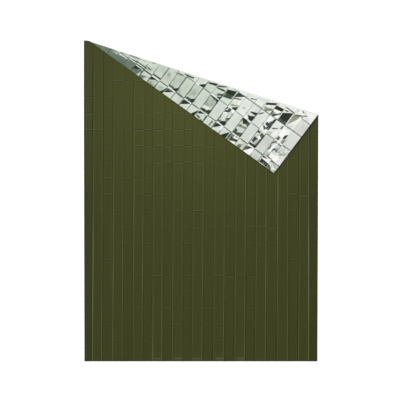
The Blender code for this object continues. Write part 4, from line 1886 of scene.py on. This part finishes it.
@dataclass(frozen=True)
class Studio:
    """Pale floor, soft light from the left and the far side, and the camera overhead."""

    floor_size: float = 60.0
    floor_glow: float = 0.35       # keeps the pale floor white round the sheet
    floor_colour: tuple[float, float, float, float] = (0.80, 0.80, 0.80, 1.0)
    floor_mirrored: tuple[float, float, float, float] = (0.45, 0.46, 0.45, 1.0)    # as the film mirrors it
    camera_height: float = 12.0
    camera_x: float = -0.0074
    camera_y: float = 0.0057
    view_width: float = 2.618
    sensor: float = 36.0
    key_strength: float = 1.13
    key_height: float = 68.0       # degrees above the floor
    key_turn: float = 165.0        # degrees from +x
    key_angle: float = 36.0
    top_lamps: tuple[Lamp, ...] = (
        Lamp("top_lamp", 0.0, 0.80, 0.85, 0.40, 4.0),
        Lamp("overhead_lamp", 0.0, -0.10, 2.40, 0.90, 9.0),
    )
    # radiance of the studio by how far a direction leans to +y, and then that of its sides
    bands: tuple[tuple[float, tuple[float, float, float]], ...] = (
        (-1.00, (0.30, 0.30, 0.30)),
        (-0.93, (0.22, 0.22, 0.22)),
        (-0.85, (0.034, 0.038, 0.030)),
        (-0.28, (0.034, 0.039, 0.031)),
        (-0.15, (0.085, 0.105, 0.082)),
        (-0.09, (0.25, 0.295, 0.24)),
        (-0.045, (0.54, 0.59, 0.525)),
        (0.00, (0.645, 0.69, 0.62)),
        (0.05, (0.71, 0.75, 0.70)),
        (0.10, (0.76, 0.795, 0.75)),
        (0.16, (0.86, 0.885, 0.85)),
        (0.26, (1.00, 1.01, 0.99)),
        (0.60, (1.05, 1.05, 1.05)),
        (0.80, (0.80, 0.82, 0.79)),
        (1.00, (0.78, 0.79, 0.77)),
    )
    right_light: tuple[float, float, float, float] = (0.35, 0.35, 0.22, 1.0)
    left_shade: tuple[float, float, float, float] = (0.18, 0.225, 0.185, 1.0)
    far_left_shade: tuple[float, float, float, float] = (0.050, 0.064, 0.085, 1.0)
    side_light: tuple[float, float, float, float] = (1.10, 1.07, 1.06, 1.0)
    # leans between which these come in, to +x and for the last two to +y
    right_leans: tuple[float, float] = (0.36, 0.50)
    right_most: float = 0.7
    left_leans: tuple[float, float] = (-0.06, -0.10)
    far_left_leans: tuple[float, float] = (-0.22, -0.30)
    side_leans: tuple[float, float] = (-0.28, -0.55)
    near_leans: tuple[float, float] = (-0.02, -0.06)
    not_near_leans: tuple[float, float] = (-0.05, 0.05)

    def floor(self) -> bpy.types.Object:
        """Lay the floor.

        Returns:
            The floor.
        """
        bpy.ops.object.select_all(action="DESELECT")
        bpy.ops.mesh.primitive_plane_add(size=self.floor_size, location=(0.0, 0.0, -0.0002))
        floor = bpy.context.object
        floor.name = "studio_floor"
        material, tree, surface = new_tree("pale_floor")
        surface.inputs["Roughness"].default_value = 0.9
        surface.inputs["Specular IOR Level"].default_value = 0.0
        surface.inputs["Emission Color"].default_value = (1.0, 1.0, 1.0, 1.0)
        mirrored = tree.nodes.new("ShaderNodeLightPath").outputs["Is Glossy Ray"]
        glow = remap(tree, mirrored, 0.0, 1.0, self.floor_glow, 0.0)
        tree.links.new(glow, surface.inputs["Emission Strength"])
        base = mix_colours(tree, mirrored, self.floor_colour, self.floor_mirrored)
        tree.links.new(base, surface.inputs["Base Color"])
        floor.data.materials.append(material)
        return floor

    def light(self) -> None:
        """Light the studio: a soft key from the left and lamps over the sheet."""
        key = bpy.data.objects.new("key", bpy.data.lights.new("key", "SUN"))
        key.data.energy = self.key_strength
        key.data.angle = math.radians(self.key_angle)
        key.visible_glossy = False
        rise, turn = math.radians(self.key_height), math.radians(self.key_turn)
        towards = Vector((math.cos(turn) * math.cos(rise), math.sin(turn) * math.cos(rise), math.sin(rise)))
        key.rotation_mode = "QUATERNION"
        key.rotation_quaternion = towards.to_track_quat("Z", "Y")
        bpy.context.scene.collection.objects.link(key)
        for lamp in self.top_lamps:
            area = bpy.data.lights.new(lamp.name, "AREA")
            area.energy, area.size = lamp.watts, lamp.size
            hung = bpy.data.objects.new(lamp.name, area)
            hung.location = (lamp.x, lamp.y, lamp.z)
            hung.visible_camera = hung.visible_glossy = False
            bpy.context.scene.collection.objects.link(hung)

    def surround(self) -> None:
        """Give the film a studio to mirror: bright beyond the far edge, dark towards the near one."""
        world = bpy.data.worlds.new("studio")
        world.use_nodes = True
        tree = world.node_tree
        ways = x_y_z(tree, tree.nodes.new("ShaderNodeTexCoord").outputs["Generated"])
        ramp = tree.nodes.new("ShaderNodeValToRGB")
        while len(ramp.color_ramp.elements) < len(self.bands):
            ramp.color_ramp.elements.new(0.5)
        for element, (lean, colour) in zip(ramp.color_ramp.elements, self.bands):
            element.position = (lean + 1.0) / 2.0
            element.color = (*colour, 1.0)
        tree.links.new(remap(tree, ways["Y"], -1.0, 1.0, 0.0, 1.0), ramp.inputs["Fac"])
        near = remap(tree, ways["Y"], *self.near_leans, 0.0, 1.0)
        not_near = remap(tree, ways["Y"], *self.not_near_leans, 0.0, 1.0)
        right = remap(tree, ways["X"], *self.right_leans, 0.0, self.right_most)
        seen = mix_colours(tree, right, ramp.outputs["Color"], self.right_light)
        for leans, where, colour in (
            (self.left_leans, near, self.left_shade),
            (self.far_left_leans, near, self.far_left_shade),
            (self.side_leans, not_near, self.side_light),
        ):
            share = math_node(tree, "MULTIPLY", remap(tree, ways["X"], *leans, 0.0, 1.0), where)
            seen = mix_colours(tree, share, seen, colour)
        rays = tree.nodes.new("ShaderNodeLightPath")
        seen = mix_colours(tree, rays.outputs["Is Camera Ray"], seen, (1.0, 1.0, 1.0, 1.0))
        background = tree.nodes["Background"]
        tree.links.new(seen, background.inputs["Color"])
        bpy.context.scene.world = world

    def camera(self) -> bpy.types.Object:
        """Hang the camera straight over the sheet.

        Returns:
            The camera.
        """
        camera = bpy.data.objects.new("camera", bpy.data.cameras.new("camera"))
        camera.location = (self.camera_x, self.camera_y, self.camera_height)
        camera.data.sensor_width = self.sensor
        camera.data.lens = self.sensor * self.camera_height / self.view_width
        camera.data.clip_end = 100.0
        bpy.context.scene.collection.objects.link(camera)
        bpy.context.scene.camera = camera
        return camera


def main() -> None:
    """Build the studio and the blanket."""
    logging.basicConfig(level=logging.INFO, format="%(message)s")
    studio = Studio()
    studio.floor()
    studio.light()
    studio.surround()
    studio.camera()
    bpy.context.scene.view_settings.view_transform = "Standard"
    maker = FoilBlanket()
    blanket = maker.build()
    maker.dress(blanket)
    maker.thicken(blanket)
    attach(blanket, "root")
    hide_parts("blanket")
    LOG.info("foil_sheet: %d vertices, %d faces", len(blanket.data.vertices), len(blanket.data.polygons))


if __name__ == "__main__":
    main()
